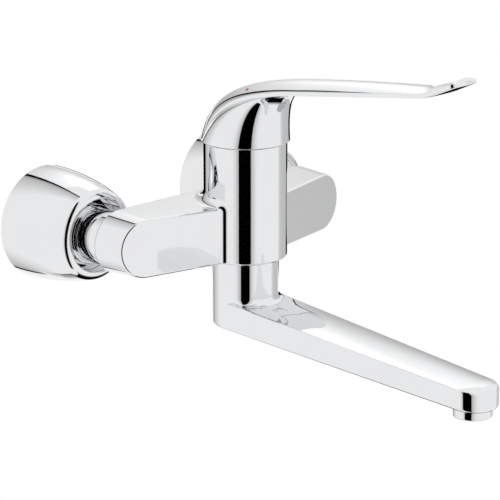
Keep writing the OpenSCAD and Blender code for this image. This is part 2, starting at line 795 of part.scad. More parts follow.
// The plug's outer face follows the flare of the neck
module handle_plug() {
    flare = bezier(front_curve, plug_t + 0.02) - bezier(front_curve, plug_t - 0.02);
    color(GREY_PLASTIC) difference() {
        along_grub(plug_seat, rim_r, plug_r);
        at_tower() translate([-rim_r / 2, -plug_face[0], rim_z + plug_face[1]])
            rotate([atan2(flare[0], flare[1]), 0, 0])
                translate([0, -rim_r * 2, -rim_r]) cube([rim_r, rim_r * 2, 2 * rim_r]);
    }
}

module index_mark(side) {
    at_mark(side) translate([0, 0, -mark_depth]) cylinder(r = mark_r, h = mark_depth + 0.1);
}

module index_red() { color([0.75, 0.12, 0.12]) index_mark(-1); }
module index_blue() { color([0.12, 0.25, 0.70]) index_mark(1); }

// Spout

module spout_spigot() {
    color(BRASS) at_tower() difference() {
        union() {
            translate([0, 0, -tower_foot]) cylinder(r = spigot_thread_r, h = spigot_thread_len - fit);
            translate([0, 0, spigot_bottom_z]) cylinder(r = spigot_r, h = -tower_foot - spigot_bottom_z);
        }
        translate([0, 0, spigot_bottom_z - over])
            cylinder(r = spigot_bore_r, h = spigot_thread_len - tower_foot - spigot_bottom_z + 2 * over);
        for (z = ring_z) translate([0, 0, z - ring_d / 2]) ring(spigot_r + over, ring_groove_r - fit, ring_d);
        translate([0, 0, clip_z - fit]) ring(spigot_r + over, clip_groove_r, clip_t + 2 * fit);
    }
}

module spigot_o_rings() {
    middle_r = ring_groove_r + ring_d / 2 - 0.1;
    color(RUBBER) at_tower() for (z = ring_z) translate([0, 0, z])
        rotate_extrude() translate([middle_r, 0]) circle(r = ring_d / 2 - 0.1);
}

module glide_ring() {
    color(WHITE_PLASTIC) at_tower() translate([0, 0, glide_z])
        ring(hub_r - 1, spigot_r + fit, glide_t);
}

module retaining_clip() {
    mouth = clip_groove_r * 1.2;
    color(STEEL) at_tower() translate([0, 0, clip_z]) difference() {
        ring(clip_outer_r, clip_groove_r + fit, clip_t);
        translate([-mouth / 2, 0, -over]) cube([mouth, clip_outer_r + over, clip_t + 2 * over]);
    }
}

// Plan of the spout: hub circle and end circle joined by sides a hair inside their tangents
module spout_plan() {
    lean = asin((hub_r - spout_tip_r) / spout_reach);
    function on(r, y, side) = [side * (r - fit) * cos(lean), y - (r - fit) * sin(lean)];
    circle(r = hub_r);
    translate([0, -spout_reach]) circle(r = spout_tip_r);
    polygon([
        on(hub_r, 0, -1), on(spout_tip_r, -spout_reach, -1),
        on(spout_tip_r, -spout_reach, 1), on(hub_r, 0, 1)
    ]);
}

function on_line(root, tip, ahead) = -(root + (tip - root) * ahead / spout_reach);

// Side view of the bar: sloping top and bottom
module bar_side() {
    back = hub_r + over;
    front = spout_reach + spout_tip_r + over;
    polygon([
        [-back, on_line(bar_bottom_root, bar_bottom_tip, -back)],
        [front, on_line(bar_bottom_root, bar_bottom_tip, front)],
        [front, on_line(bar_top_root, bar_top_tip, front)],
        [-back, on_line(bar_top_root, bar_top_tip, -back)]
    ]);
}

module across_spout() {
    rotate([90, 0, -90]) translate([0, 0, -hub_r - over]) linear_extrude(2 * (hub_r + over)) children();
}

module spout() {
    root_mid = -(bar_top_root + bar_bottom_root) / 2;
    tip_mid = -(bar_top_tip + bar_bottom_tip) / 2 + 1;
    fall = atan2(root_mid - tip_mid, spout_reach);
    boss_h = 4;
    color(CHROME) at_tower() difference() {
        union() {
            translate([0, 0, root_mid]) cylinder(r = hub_r, h = hub_top_z - root_mid);
            intersection() {
                translate([0, 0, -bar_bottom_tip - hub_r]) linear_extrude(bar_bottom_tip) spout_plan();
                across_spout() bar_side();
            }
            translate([0, -spout_reach, nozzle_top_z + fit]) cylinder(r = aerator_r, h = boss_h);
        }
        translate([0, 0, shoulder_z]) cylinder(r = spigot_r + fit, h = tower_foot + bar_top_root);
        translate([0, 0, root_mid - spout_bore_r])
            cylinder(r = clip_outer_r + face_gap, h = shoulder_z - root_mid + spout_bore_r);
        translate([0, 0, root_mid]) rotate([90 + fall, 0, 0])
            cylinder(r1 = spout_bore_r, r2 = spout_bore_tip_r, h = spout_reach / cos(fall));
        translate([0, -spout_reach, outlet_z])
            cylinder(r = aerator_thread_r + fit, h = socket_top_z - outlet_z);
    }
}

// Aerator

module at_outlet() {
    at_tower() translate([0, -spout_reach, 0]) children();
}

// The spout ends in a level boss, just below the lowest point of its underside there
boss_rise = 0.4;
nozzle_top_z = on_line(bar_bottom_root, bar_bottom_tip, spout_reach + aerator_r) - boss_rise - fit;

module aerator_housing() {
    lip = 1;
    color(CHROME) at_outlet() difference() {
        union() {
            translate([0, 0, outlet_z]) cylinder(r = aerator_r, h = nozzle_top_z - outlet_z);
            translate([0, 0, outlet_z])
                cylinder(r = aerator_thread_r, h = stub_top_z - outlet_z);
        }
        translate([0, 0, outlet_z + lip]) cylinder(r = insert_r + fit, h = aerator_h * 4);
        translate([0, 0, outlet_z - over]) cylinder(r = insert_r - lip, h = aerator_h);
    }
}

module aerator_insert() {
    lip = 1;
    holes = 12;
    rows = [0.38, 0.74];
    color(WHITE_PLASTIC) at_outlet() difference() {
        translate([0, 0, outlet_z + lip])
            cylinder(r = insert_r, h = stub_top_z - screen_t - outlet_z - lip);
        for (row = rows) for (i = [0 : holes - 1]) rotate([0, 0, i * 360 / holes])
            translate([insert_r * row, 0, outlet_z]) cylinder(r = 0.7, h = aerator_h * 3);
    }
}

module aerator_screen() {
    color(STEEL) at_outlet() translate([0, 0, stub_top_z - screen_t]) ring(insert_r, 1, screen_t);
}

module aerator_gasket() {
    color(RUBBER) at_outlet() translate([0, 0, stub_top_z])
        ring(aerator_thread_r - fit, aerator_thread_r - 3, gasket_t);
}

body_casting();
wall_union(-1);  // left_wall_union
wall_union(1);  // right_wall_union
escutcheon(-1);  // left_escutcheon
escutcheon(1);  // right_escutcheon
union_nut(-1);  // left_union_nut
union_nut(1);  // right_union_nut
union_washer(-1);  // left_union_washer
union_washer(1);  // right_union_washer
inlet_nipple(-1);  // left_inlet_nipple
inlet_nipple(1);  // right_inlet_nipple
cartridge_base();
port_seals();
fixed_disc();
moving_disc();
disc_carrier();
cartridge_housing();
turning_guide();
lever_spindle();
spindle_pin();
temperature_limiter();
cartridge_nut();
cover_ring();
handle();
handle_grub_screw();
handle_plug();
index_red();
index_blue();
spout_spigot();
spigot_o_rings();
glide_ring();
retaining_clip();
spout();
aerator_housing();
aerator_insert();
aerator_screen();
aerator_gasket();
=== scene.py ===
import json
import math

import bpy
from bpy.props import FloatProperty, FloatVectorProperty, IntProperty, PointerProperty
from bpy.types import NodeSocket, Operator, Panel, PropertyGroup
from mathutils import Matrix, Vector


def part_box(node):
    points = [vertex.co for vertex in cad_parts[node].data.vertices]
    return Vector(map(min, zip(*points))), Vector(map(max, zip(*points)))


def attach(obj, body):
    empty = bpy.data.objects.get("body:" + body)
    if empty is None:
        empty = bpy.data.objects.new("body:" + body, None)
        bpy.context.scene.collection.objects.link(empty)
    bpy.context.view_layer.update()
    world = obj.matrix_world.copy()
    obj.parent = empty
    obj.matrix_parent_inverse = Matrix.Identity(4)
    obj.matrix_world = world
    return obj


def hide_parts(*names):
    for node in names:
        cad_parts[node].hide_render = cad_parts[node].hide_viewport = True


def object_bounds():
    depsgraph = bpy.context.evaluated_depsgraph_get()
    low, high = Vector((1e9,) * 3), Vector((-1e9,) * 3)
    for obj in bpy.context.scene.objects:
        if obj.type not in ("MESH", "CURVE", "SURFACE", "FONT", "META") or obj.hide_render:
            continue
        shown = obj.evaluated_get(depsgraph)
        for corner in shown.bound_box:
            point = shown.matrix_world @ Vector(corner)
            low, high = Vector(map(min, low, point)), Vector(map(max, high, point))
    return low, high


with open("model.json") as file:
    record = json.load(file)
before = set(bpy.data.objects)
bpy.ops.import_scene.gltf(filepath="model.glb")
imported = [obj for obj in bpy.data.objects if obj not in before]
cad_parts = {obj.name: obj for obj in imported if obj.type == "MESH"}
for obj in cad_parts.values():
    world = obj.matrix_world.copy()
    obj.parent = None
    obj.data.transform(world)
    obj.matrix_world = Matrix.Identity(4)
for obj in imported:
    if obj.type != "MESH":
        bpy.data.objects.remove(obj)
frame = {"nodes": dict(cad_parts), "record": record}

bl_info = {
    "name": "Elbow lever tap",
    "version": (1, 0, 0),
    "blender": (4, 5, 0),
    "location": "View3D > Sidebar > Tap",
    "description": "Dresses the packed frame of a wall-mounted elbow lever tap",
    "category": "Add Mesh",
}

CAD_LOW, CAD_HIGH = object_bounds()
MM = 0.001
QUARTER = math.pi / 2

# The axes of the tower and of the inlets, in the row frame
TOWER_Y = -0.0985
INLET_X, INLET_Z = 0.075, -0.008

# Points that lie nearer to each other than this become one
WELD = 2e-6

# Faces across a rounded edge, and the angle in degrees from which an edge stays sharp
EDGE_STEPS, CREASE = 5, 35


def size(name, description, value):
    """A length that the user may change, given in millimetres."""
    return FloatProperty(
        name=name, description=description, default=value * MM, min=0.0, unit="LENGTH"
    )


def tint(name, description, value):
    """A linear colour that the user may change."""
    return FloatVectorProperty(
        name=name, description=description, default=value, size=3, min=0.0, max=1.0, subtype="COLOR"
    )


class TapSizes(PropertyGroup):
    """Roundings and fine sizes of the visible pieces"""

    bell_round: size("Bell front round", "Round between a bell's flank and its front", 5.2)
    bell_lip: size("Bell lip round", "Round where a bell's front turns into its recess", 0.7)
    nut_round: size("Nut round", "Round at the ends of a union nut", 0.5)
    arm_round: size("Arm edge round", "Round along the edges of the cross arm", 1.6)
    arm_fillet: size("Arm fillet", "Fillet between the cross arm and the tower", 6.0)
    tower_round: size("Tower round", "Round at the top of the tower", 0.5)
    hub_fillet: size("Hub fillet", "Fillet between the spout's hub and its bar", 4.5)
    bar_crown: size("Bar crown", "Rise of the spout's top face along its middle", 1.4)
    bar_top_round: size("Bar top round", "Round along the upper edges of the spout", 0.9)
    bar_end_round: size("Bar end round", "Round along the upper edge at the spout's end", 3.0)
    bar_bottom_round: size("Bar bottom round", "Round along the lower edges of the spout", 2.2)
    strap_round: size("Strap round", "Round along the edges of the lever's blade", 0.35)
    neck_round: size("Neck round", "Round along the strap's edges on the neck", 0.9)
    plug_round: size("Plug round", "Round at the rim of the plug", 0.5)
    nozzle_round: size("Nozzle round", "Round at the mouth of the aerator", 0.9)
    segments: IntProperty(
        name="Segments", description="Faces round a turned piece", default=128, min=24
    )


class TapFinishes(PropertyGroup):
    """Colours of the finishes"""

    chrome: tint("Chrome", "Bright plated surfaces", (0.80, 0.805, 0.815))
    brass: tint("Brass", "Threads and unions", (0.62, 0.45, 0.19))
    steel: tint("Steel", "Spindle, pin, screw and clip", (0.58, 0.58, 0.60))
    rubber: tint("Rubber", "Seals and washers", (0.022, 0.022, 0.024))
    ceramic: tint("Ceramic", "Cartridge discs", (0.86, 0.85, 0.80))
    white_plastic: tint("White plastic", "Housing, glide ring and insert", (0.80, 0.80, 0.77))
    grey_plastic: tint("Grey plastic", "Plug, guide and carrier", (0.50, 0.51, 0.52))
    red_plastic: tint("Red plastic", "Hot mark and limiter", (0.24, 0.02, 0.025))
    blue_plastic: tint("Blue plastic", "Cold mark", (0.03, 0.09, 0.42))
    # Painted shade: a dark colour given to the inside of the bells, standing in for the shadow in
    # their recesses
    bare: tint("Bare casting", "Unplated inside of the bells", (0.17, 0.165, 0.155))
    floor: tint("Floor", "Pale floor under the tap", (0.86, 0.86, 0.86))


# Points and curves


def from_tower(x, ahead, height):
    """A point in metres from millimetres about the tower's axis and the inlets."""
    return Vector((x * MM, TOWER_Y - ahead * MM, INLET_Z + height * MM))


def mix(a, b, t):
    return a + (b - a) * t


def spread(first, last, steps):
    """Values from the first to the last in even steps."""
    return [mix(first, last, i / steps) for i in range(steps + 1)]


def curve(points, t):
    """A point of the curve from the first point to the last, pulled by the others."""
    while len(points) > 1:
        points = [mix(a, b, t) for a, b in zip(points, points[1:])]
    return points[0]


def about(turn, r, height):
    """A point round the tower's axis, at an angle from straight ahead."""
    return Vector((r * math.sin(turn), r * math.cos(turn), height))


def ring(turns, r, height):
    return [about(turn, r, height) for turn in turns]


def turn_of(point):
    """Angle of a point round the axis, from straight ahead."""
    return math.atan2(point.x, point.y)


def column(rows, k):
    """The point at the same place of every row."""
    return [row[k] for row in rows]


def arc(start, end, share):
    """The unit vector a share of the way from one unit vector to another."""
    angle = start.angle(end)
    if angle < 1e-6:
        return start.copy()
    turned_on = start * math.sin((1 - share) * angle) + end * math.sin(share * angle)
    return turned_on / math.sin(angle)


def round_off(middle, start, end, radius, steps):
    """Points round a middle, from one unit vector's direction to another's."""
    return [middle + arc(start, end, share) * radius for share in spread(0, 1, steps)]


def edge_round(corner, first, second, radius, steps=EDGE_STEPS):
    """Points across a rounded edge between the faces with these normals."""
    middle = corner - (first + second) * (radius / (1 + first.dot(second)))
    return round_off(middle, first, second, radius, steps)


def rim_round(r, top, lip, steps=4):
    """Pairs of radius and height from an upright wall over its rounded rim."""
    inner, low = r - lip, top - lip
    return [(inner + lip * math.cos(q), low + lip * math.sin(q)) for q in spread(0, QUARTER, steps)]


def rounded(corners, steps):
    """A closed outline of (radius, along) from corners (radius, along, round)."""
    outline = []
    for i, (r, s, radius) in enumerate(corners):
        here = Vector((r, s))
        if not radius:
            outline.append(here)
            continue
        beside = (corners[i - 1], corners[(i + 1) % len(corners)])
        back, on = ((Vector(p[:2]) - here).normalized() for p in beside)
        half = back.angle(on) / 2
        middle = here + (back + on).normalized() * (radius / math.sin(half))
        start, end = (
            (here + way * (radius / math.tan(half)) - middle) / radius for way in (back, on)
        )
        outline += round_off(middle, start, end, radius, steps)
    return outline


# Making pieces


def mode(name):
    bpy.ops.object.mode_set(mode=name)


def select_only(piece):
    bpy.ops.object.select_all(action="DESELECT")
    piece.select_set(True)
    bpy.context.view_layer.objects.active = piece


def primitive(operator, name, **values):
    """Adds a primitive with nothing else selected, and names it."""
    bpy.ops.object.select_all(action="DESELECT")
    operator(**values)
    piece = bpy.context.object
    piece.name = piece.data.name = name
    return piece


def apply_place():
    bpy.ops.object.transform_apply(location=True, rotation=True, scale=True)


def apply_modifier(piece, kind, **values):
    """Adds a modifier with these values and applies it."""
    select_only(piece)
    bpy.ops.object.modifier_add(type=kind)
    modifier = piece.modifiers[-1]
    for key, value in values.items():
        setattr(modifier, key, value)
    bpy.ops.object.modifier_apply(modifier=modifier.name)


def close_up(piece):
    """Merges the doubles of a piece and turns its faces outwards."""
    select_only(piece)
    mode("EDIT")
    bpy.ops.mesh.select_all(action="SELECT")
    bpy.ops.mesh.remove_doubles(threshold=WELD)
    bpy.ops.mesh.dissolve_degenerate(threshold=WELD / 10)
    bpy.ops.mesh.select_all(action="SELECT")
    bpy.ops.mesh.normals_make_consistent(inside=False)
    mode("OBJECT")


class Skin:
    """Faces of a piece that is the same on both sides of the tower's middle plane"""

    def __init__(self):
        self.points, self.loops = [], []

    def face(self, points):
        """Adds a face given by points about the tower, and its mirror image."""
        points = [tuple(p) for p in points]
        mirrored = [(-x, ahead, height) for x, ahead, height in reversed(points)]
        for side in (points, mirrored):
            first = len(self.points)
            self.points += [from_tower(*p) for p in side]
            self.loops.append(list(range(first, len(self.points))))

    def sheet(self, rows):
        """Adds the faces between neighbouring rows of points."""
        for row, after in zip(rows, rows[1:]):
            for i in range(len(row) - 1):
                self.face((row[i], row[i + 1], after[i + 1], after[i]))

    def bore(self, turns, outline):
        """Adds rings of (radius, height) about the tower's axis, the last one closed."""
        rings = [ring(turns, r, height) for r, height in outline]
        self.sheet(rings)
        self.face(rings[-1])

    def make(self, name):
        """Welds the faces into one closed mesh whose faces point outwards."""
        mesh = bpy.data.meshes.new(name)
        mesh.from_pydata(self.points, [], self.loops)
        piece = bpy.data.objects.new(name, mesh)
        bpy.context.scene.collection.objects.link(piece)
        close_up(piece)
        return piece


def turned(name, corners, centre, axis, steps=6):
    """A ring: a circle extruded along a rounded outline and closed on itself."""
    outline = [p * MM for p in rounded(corners, steps)]
    axis = Vector(axis)
    piece = primitive(
        bpy.ops.mesh.primitive_circle_add, name,
        vertices=bpy.context.scene.tap_sizes.segments,
        radius=outline[0][0],
        location=centre + axis * outline[0][1],
        rotation=Vector((0, 0, 1)).rotation_difference(axis).to_euler(),
    )
    apply_place()
    mode("EDIT")
    bpy.ops.mesh.select_all(action="SELECT")
    for (r, s), (next_r, next_s) in zip(outline, outline[1:] + outline[:1]):
        bpy.ops.mesh.extrude_edges_move(TRANSFORM_OT_translate={"value": axis * (next_s - s)})
        if next_r != r:
            grow = (next_r / r,) * 3
            bpy.ops.transform.resize(value=grow, center_override=centre + axis * next_s)
    mode("OBJECT")
    close_up(piece)
    return piece


def copied(piece, name, offset=(0, 0, 0)):
    """A copy of a piece with its own mesh, moved and applied."""
    select_only(piece)
    bpy.ops.object.duplicate(linked=False)
    twin = bpy.context.object
    twin.name = twin.data.name = name
    bpy.ops.transform.translate(value=offset)
    apply_place()
    return twin


def shade(piece, crease):
    """Smooths a piece up to a crease angle, with normals that follow its large faces."""
    select_only(piece)
    bpy.ops.object.shade_smooth_by_angle(angle=math.radians(crease))
    apply_modifier(piece, "WEIGHTED_NORMAL", mode="FACE_AREA", weight=50, keep_sharp=True)


def dress(piece, body, slot, node, crease=CREASE):
    """Shades a piece, gives it its slot's finish and puts it on its body in place of its node."""
    shade(piece, crease)
    piece.data.materials.clear()
    piece.data.materials.append(made_finish(slot))
    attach(piece, body)
    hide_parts(node)


def inlet_pair(kind, node, corners):
    """Turns a ring about the left inlet, copies it to the right one and dresses both."""
    left = turned(f"left_{kind}", corners, Vector((-INLET_X, 0, INLET_Z)), (0, -1, 0))
    right = copied(left, f"right_{kind}", (2 * INLET_X, 0, 0))
    dress(left, "tap_body", "chrome", f"left_{node}")
    dress(right, "tap_body", "chrome", f"right_{node}")
    return left, right


# Finishes

# Material, metallic, least and most roughness, and where the wear differs from the usual
FINISHES = {
    "chrome": ("bright_chrome", 1.0, 0.02, 0.045, {"shade": 0.015}),
    "brass": ("machined_brass", 1.0, 0.22, 0.38, {"bump": 0.15, "marks": 1400, "stretch": 0.15}),
    "steel": ("brushed_steel", 1.0, 0.2, 0.34, {"bump": 0.1, "marks": 1600, "stretch": 0.1}),
    "rubber": ("black_rubber", 0.0, 0.5, 0.72, {"shade": 0.2, "bump": 0.2}),
    "ceramic": ("lapped_ceramic", 0.0, 0.08, 0.16, {"shade": 0.03}),
    "white_plastic": ("white_moulding", 0.0, 0.3, 0.42, {"bump": 0.08}),
    "grey_plastic": ("grey_moulding", 0.0, 0.34, 0.5, {"shade": 0.08, "bump": 0.12}),
    "red_plastic": ("red_moulding", 0.0, 0.25, 0.4, {"bump": 0.05}),
    "blue_plastic": ("blue_moulding", 0.0, 0.25, 0.4, {"bump": 0.05}),
    # Painted shade for the bells' recesses, not a finish of the real casting
    "bare": ("bare_casting", 0.0, 0.55, 0.75, {"shade": 0.2, "bump": 0.05}),
    "floor": ("pale_floor", 0.0, 0.5, 0.7, {"shade": 0.01, "clouds": 2.0, "marks": 30.0}),
}


def feed(node, inputs):
    """Sets inputs of a node, each to a value or to the output that feeds it."""
    for key, value in inputs.items():
        if isinstance(value, NodeSocket):
            node.id_data.links.new(value, node.inputs[key])
        else:
            node.inputs[key].default_value = value


def add(tree, kind, inputs=None, **settings):
    """Adds a node with these settings and inputs, and returns its outputs."""
    node = tree.nodes.new(f"ShaderNode{kind}")
    for key, value in settings.items():
        setattr(node, key, value)
    feed(node, inputs or {})
    return node.outputs


def wear_group():
    """Cloudy polish and fine marks that every finish is broken up with."""
    group = bpy.data.node_groups.get("fine_wear")
    if group:
        return group
    group = bpy.data.node_groups.new("fine_wear", "ShaderNodeTree")
    sockets = {"INPUT": ("Cloud Scale", "Mark Scale", "Stretch"), "OUTPUT": ("Cloud", "Marks")}
    for way, names in sockets.items():
        for name in names:
            group.interface.new_socket(name, in_out=way, socket_type="NodeSocketFloat")
    given = group.nodes.new("NodeGroupInput").outputs
    place = add(group, "TexCoord")["Object"]
    along = add(group, "CombineXYZ", {"X": 1.0, "Y": given["Stretch"], "Z": 1.0})["Vector"]
    pulled = add(group, "VectorMath", {0: place, 1: along}, operation="MULTIPLY")["Vector"]
    cloud = {"Vector": place, "Scale": given["Cloud Scale"], "Detail": 3.0}
    marks = {"Vector": pulled, "Scale": given["Mark Scale"], "Detail": 4.0, "Roughness": 0.6}
    feed(group.nodes.new("NodeGroupOutput"), {
        "Cloud": add(group, "TexNoise", cloud)["Fac"],
        "Marks": add(group, "TexNoise", marks)["Fac"],
    })
    return group


def finish(name, colour, metallic, smooth, rough, wear):
    """A finish whose tone and gloss vary with the wear, with a faint relief if it has bump."""
    made = bpy.data.materials.new(name)
    made.use_nodes = True
    tree = made.node_tree
    worn = add(tree, "Group", {
        "Cloud Scale": wear.get("clouds", 40.0), "Mark Scale": wear.get("marks", 900.0),
        "Stretch": wear.get("stretch", 1.0),
    }, node_tree=wear_group())
    off = wear.get("shade", 0.06)
    dark, light = ((*(min(1.0, c * (1 + way)) for c in colour), 1.0) for way in (-off, off))
    tone = {"Factor": worn["Cloud"], "A": dark, "B": light}
    gloss = {
        "Value": worn["Marks"], "From Min": 0.3, "From Max": 0.7, "To Min": smooth, "To Max": rough,
    }
    shader = tree.nodes["Principled BSDF"]
    feed(shader, {
        "Base Color": add(tree, "Mix", tone, data_type="RGBA")["Result"],
        "Roughness": add(tree, "MapRange", gloss)["Result"],
        "Metallic": metallic,
    })
    if "bump" in wear:
        relief = {"Strength": wear["bump"], "Distance": 0.0002, "Height": worn["Marks"]}
        feed(shader, {"Normal": add(tree, "Bump", relief)["Normal"]})
    return made


def made_finish(key):
    """The finish of a slot, made when it is first asked for."""
    name, *values = FINISHES[key]
    colour = getattr(bpy.context.scene.tap_finishes, key)
    return bpy.data.materials.get(name) or finish(name, colour, *values)


# Pieces

# Sizes of the bells in millimetres, from the wall
BACK_R, FRONT_R, DEPTH, WALL = 34.58, 26.9, 49.7, 1.4
RECESS_R, FLOOR, HOLE_R = 22.2, 42.2, 13.25
# Steps along the flank, how many front rounds before the front it ends, and a face's margin
FLANK_STEPS, FRONT_ROUNDS, MARGIN = 14, 2.2, 0.1


def flank(inset, along):
    """Radius of the bell's long arc at a distance from the wall."""
    drop = BACK_R - FRONT_R
    arc_r = (DEPTH**2 + drop**2) / (2 * drop)
    return BACK_R - arc_r + math.sqrt((arc_r - inset) ** 2 - along**2)


def paint_recess_shade(bell):
    """Paints shade on the inside of the bell, behind the recess: a dark finish that stands in for
    the shadow there.
    """
    x = sum(v.co.x for v in bell.data.vertices) / len(bell.data.vertices)
    for face in bell.data.polygons:
        deep = -face.center.y / MM
        r = math.hypot(face.center.x - x, face.center.z - INLET_Z) / MM
        behind_cup = deep < FLOOR - MARGIN or r > RECESS_R + WALL - MARGIN
        behind_front = deep < DEPTH - WALL + MARGIN
        inside = behind_front and r < flank(WALL, deep) + MARGIN
        face.material_index = 1 if behind_cup and inside else 0


class TAP_OT_escutcheons(Operator):
    """Turns the bell escutcheons that cover the wall unions"""

    bl_idname = "tap.escutcheons"
    bl_label = "Escutcheons"

    def execute(self, context):
        sizes = context.scene.tap_sizes
        front = sizes.bell_round / MM
        last = DEPTH - FRONT_ROUNDS * front
        cup_r, cup_floor = RECESS_R + WALL, FLOOR - WALL
        inner_end = DEPTH - WALL
        corners = [
            (BACK_R, 0, 0.3),
            *((flank(0, s), s, 0) for s in spread(0, last, FLANK_STEPS)[1:]),
            (FRONT_R, DEPTH, front),
            (RECESS_R, DEPTH, sizes.bell_lip / MM),
            (RECESS_R, FLOOR, 0.4), (HOLE_R, FLOOR, 0.2),
            (HOLE_R, cup_floor, 0), (cup_r, cup_floor, 0), (cup_r, inner_end, 0),
            *((flank(WALL, s), s, 0) for s in spread(inner_end, 0, FLANK_STEPS)),
        ]
        for bell in inlet_pair("bell", "escutcheon", corners):
            # Painted shade: the inside behind the recess gets the dark finish in place of a shadow
            bell.data.materials.append(made_finish("bare"))
            paint_recess_shade(bell)
        return {"FINISHED"}


class TAP_OT_union_nuts(Operator):
    """Turns the smooth union nuts between the bells and the cross arm"""

    bl_idname = "tap.union_nuts"
    bl_label = "Union nuts"

    def execute(self, context):
        edge = context.scene.tap_sizes.nut_round / MM
        # Radius, distance from the wall and round of each corner
        inlet_pair("nut", "union_nut", [
            (13.25, 42.5, 0.2), (18.4, 42.5, 0.4), (18.4, 45.1, 0.4), (16.6, 45.1, 0.2),
            (16.6, 65.2, edge), (10.95, 65.2, 0.2), (10.95, 57.05, 0), (13.25, 57.05, 0),
        ])
        return {"FINISHED"}


class Fillet:
    """A ball rolled round an upright cylinder, over a top face and past its edge to a side face"""

    def __init__(self, cylinder_r, ball_r, side, side_d, top, top_d, edge_r, towards):
        self.reach, self.ball_r, self.edge_r = cylinder_r + ball_r, ball_r, edge_r
        self.side, self.top, self.top_d = side, top, top_d
        along = side.cross(top).normalized()
        self.along = along if along.dot(towards) > 0 else -along
        # A point of the edge round's axis: on both faces moved in by the round
        dot = side.dot(top)
        a, b = side_d - edge_r, top_d - edge_r
        self.axis = (side * (a - b * dot) + top * (b - a * dot)) / (1 - dot * dot)

    def past_edge(self, share):
        """Ball's middle and contact normal at a share of the turn from the side to the top."""
        normal = arc(self.side, self.top, share)
        start = self.axis + normal * (self.ball_r + self.edge_r)
        a = self.along.x**2 + self.along.y**2
        b = start.x * self.along.x + start.y * self.along.y
        c = start.x**2 + start.y**2 - self.reach**2
        step = (-b + math.sqrt(max(0.0, b * b - a * c))) / a
        return start + self.along * step, normal

    def over_top(self, turn):
        """Ball's middle and contact normal over the top, at an angle from straight ahead."""
        p = about(turn, self.reach, 0)
        p.z = (self.top_d + self.ball_r - self.top.x * p.x - self.top.y * p.y) / self.top.z
        return p, self.top

    def section(self, middle, normal, steps=10):
        """Points from the cylinder to the other face, across the fillet."""
        inward = Vector((-middle.x, -middle.y, 0)).normalized()
        return round_off(middle, inward, -normal, self.ball_r, steps)


# Sizes of the casting in millimetres, about the tower's axis
TOWER_R, TOWER_TOP, FOOT, PAD_R = 25.25, 54.0, -17.4, 21.5
NUT_R, NUT_SEAT, CHAMBER_R, CHAMBER_FLOOR = 19.65, 46.5, 17.9, 12.0
SPIGOT_R, SPIGOT_END, INLET_R, INLET_DEEP = 10.55, -8.4, 10.95, 11.0
END_X, BACK, BACK_HALF, FOLD = 75.0, -33.0, 19.2, 12.3
SWEEP, DRAFT = math.radians(13.75), math.radians(3.2)
TOWER_STEPS, FILLET_STEPS, END_STEPS = 26, 34, 48
# Half of the arm's height over the tower's axis, and the normals of its faces
HALF = BACK_HALF + BACK * math.tan(DRAFT)
ARM_FRONT = about(SWEEP, 1, 0)
ARM_TOP = Vector((0, math.sin(DRAFT), math.cos(DRAFT)))
ARM_LOW = Vector((0, math.sin(DRAFT), -math.cos(DRAFT)))
DOWN, BEHIND = Vector((0, 0, -1)), Vector((0, -1, 0))


def under_arm(ahead):
    """Height of the arm's underside at a distance ahead of the tower's axis."""
    return ahead * math.tan(DRAFT) - HALF


def arm_fillet(skin, radius, edge):
    """Rolls the fillet from the arm's front over its edge and round the back of the tower."""
    ball = Fillet(
        TOWER_R, radius, ARM_FRONT, FOLD * math.cos(SWEEP), ARM_TOP,
        HALF * math.cos(DRAFT), edge, Vector((1, 0, 0)),
    )
    stations = [ball.past_edge(share) for share in spread(0, 1, EDGE_STEPS)]
    turns = spread(turn_of(stations[-1][0]), math.pi, FILLET_STEPS)
    stations += [ball.over_top(turn) for turn in turns[1:]]
    sections = [ball.section(*station) for station in stations]
    # Its rounded lower edge, from the tower to the arm's front
    middle, start = stations[0][0], sections[0]
    low_rows = []
    for p, share in zip(start, spread(0, 1, len(start) - 1)):
        out = Vector((middle.x - p.x, middle.y - p.y, 0)).normalized()
        corner = Vector((p.x, p.y, mix(FOOT, under_arm(p.y), share)))
        low_rows.append(edge_round(corner, out, arc(DOWN, ARM_LOW, share), edge))
    skin.sheet([start, column(low_rows, 0)])
    skin.sheet(sections)
    skin.sheet(low_rows)
    return sections, low_rows


def tower(skin, sections, low_row, edge, lip):
    """Adds the tower, its chamber, foot and bore, and returns the edge of the spout's pad."""
    start, contacts = sections[0][0], column(sections, 0)
    fronts = spread(0, turn_of(start), TOWER_STEPS)
    backs = [*(turn_of(p) for p in contacts[:-1]), math.pi]
    turns, wall_top = fronts + backs[1:], TOWER_TOP - lip
    upper = ring(fronts, TOWER_R, wall_top)
    lower = ring(fronts, TOWER_R, low_row[0].z)
    skin.sheet([upper[:-1], lower[:-1]])
    # The last face of the front also meets the start of the fillet
    skin.face([*upper[-2:], start, *reversed(lower[-2:])])
    skin.sheet([ring(backs, TOWER_R, wall_top), contacts])
    skin.bore(turns, [
        *rim_round(TOWER_R, TOWER_TOP, lip), (NUT_R, TOWER_TOP), (NUT_R, NUT_SEAT),
        (CHAMBER_R, NUT_SEAT), (CHAMBER_R, CHAMBER_FLOOR),
    ])

    outs, corners = ring(fronts[:-1], 1, 0), ring(fronts[:-1], TOWER_R, FOOT)
    rounds = [edge_round(p, out, DOWN, edge) for p, out in zip(corners, outs)]
    skin.sheet([*zip(*rounds, low_row), ring(fronts, PAD_R, FOOT)])
    flat = ring(backs, PAD_R, FOOT)
    pad = [Vector((p.x, p.y, min(FOOT, under_arm(p.y)))) for p in flat]
    skin.sheet([pad, flat])
    skin.bore(turns, [(PAD_R, FOOT), (SPIGOT_R, FOOT), (SPIGOT_R, SPIGOT_END)])
    return pad


def arm_end(turn, r, ahead):
    """A point about the axis of the arm's round end."""
    return Vector((END_X + r * math.cos(turn), ahead, r * math.sin(turn)))


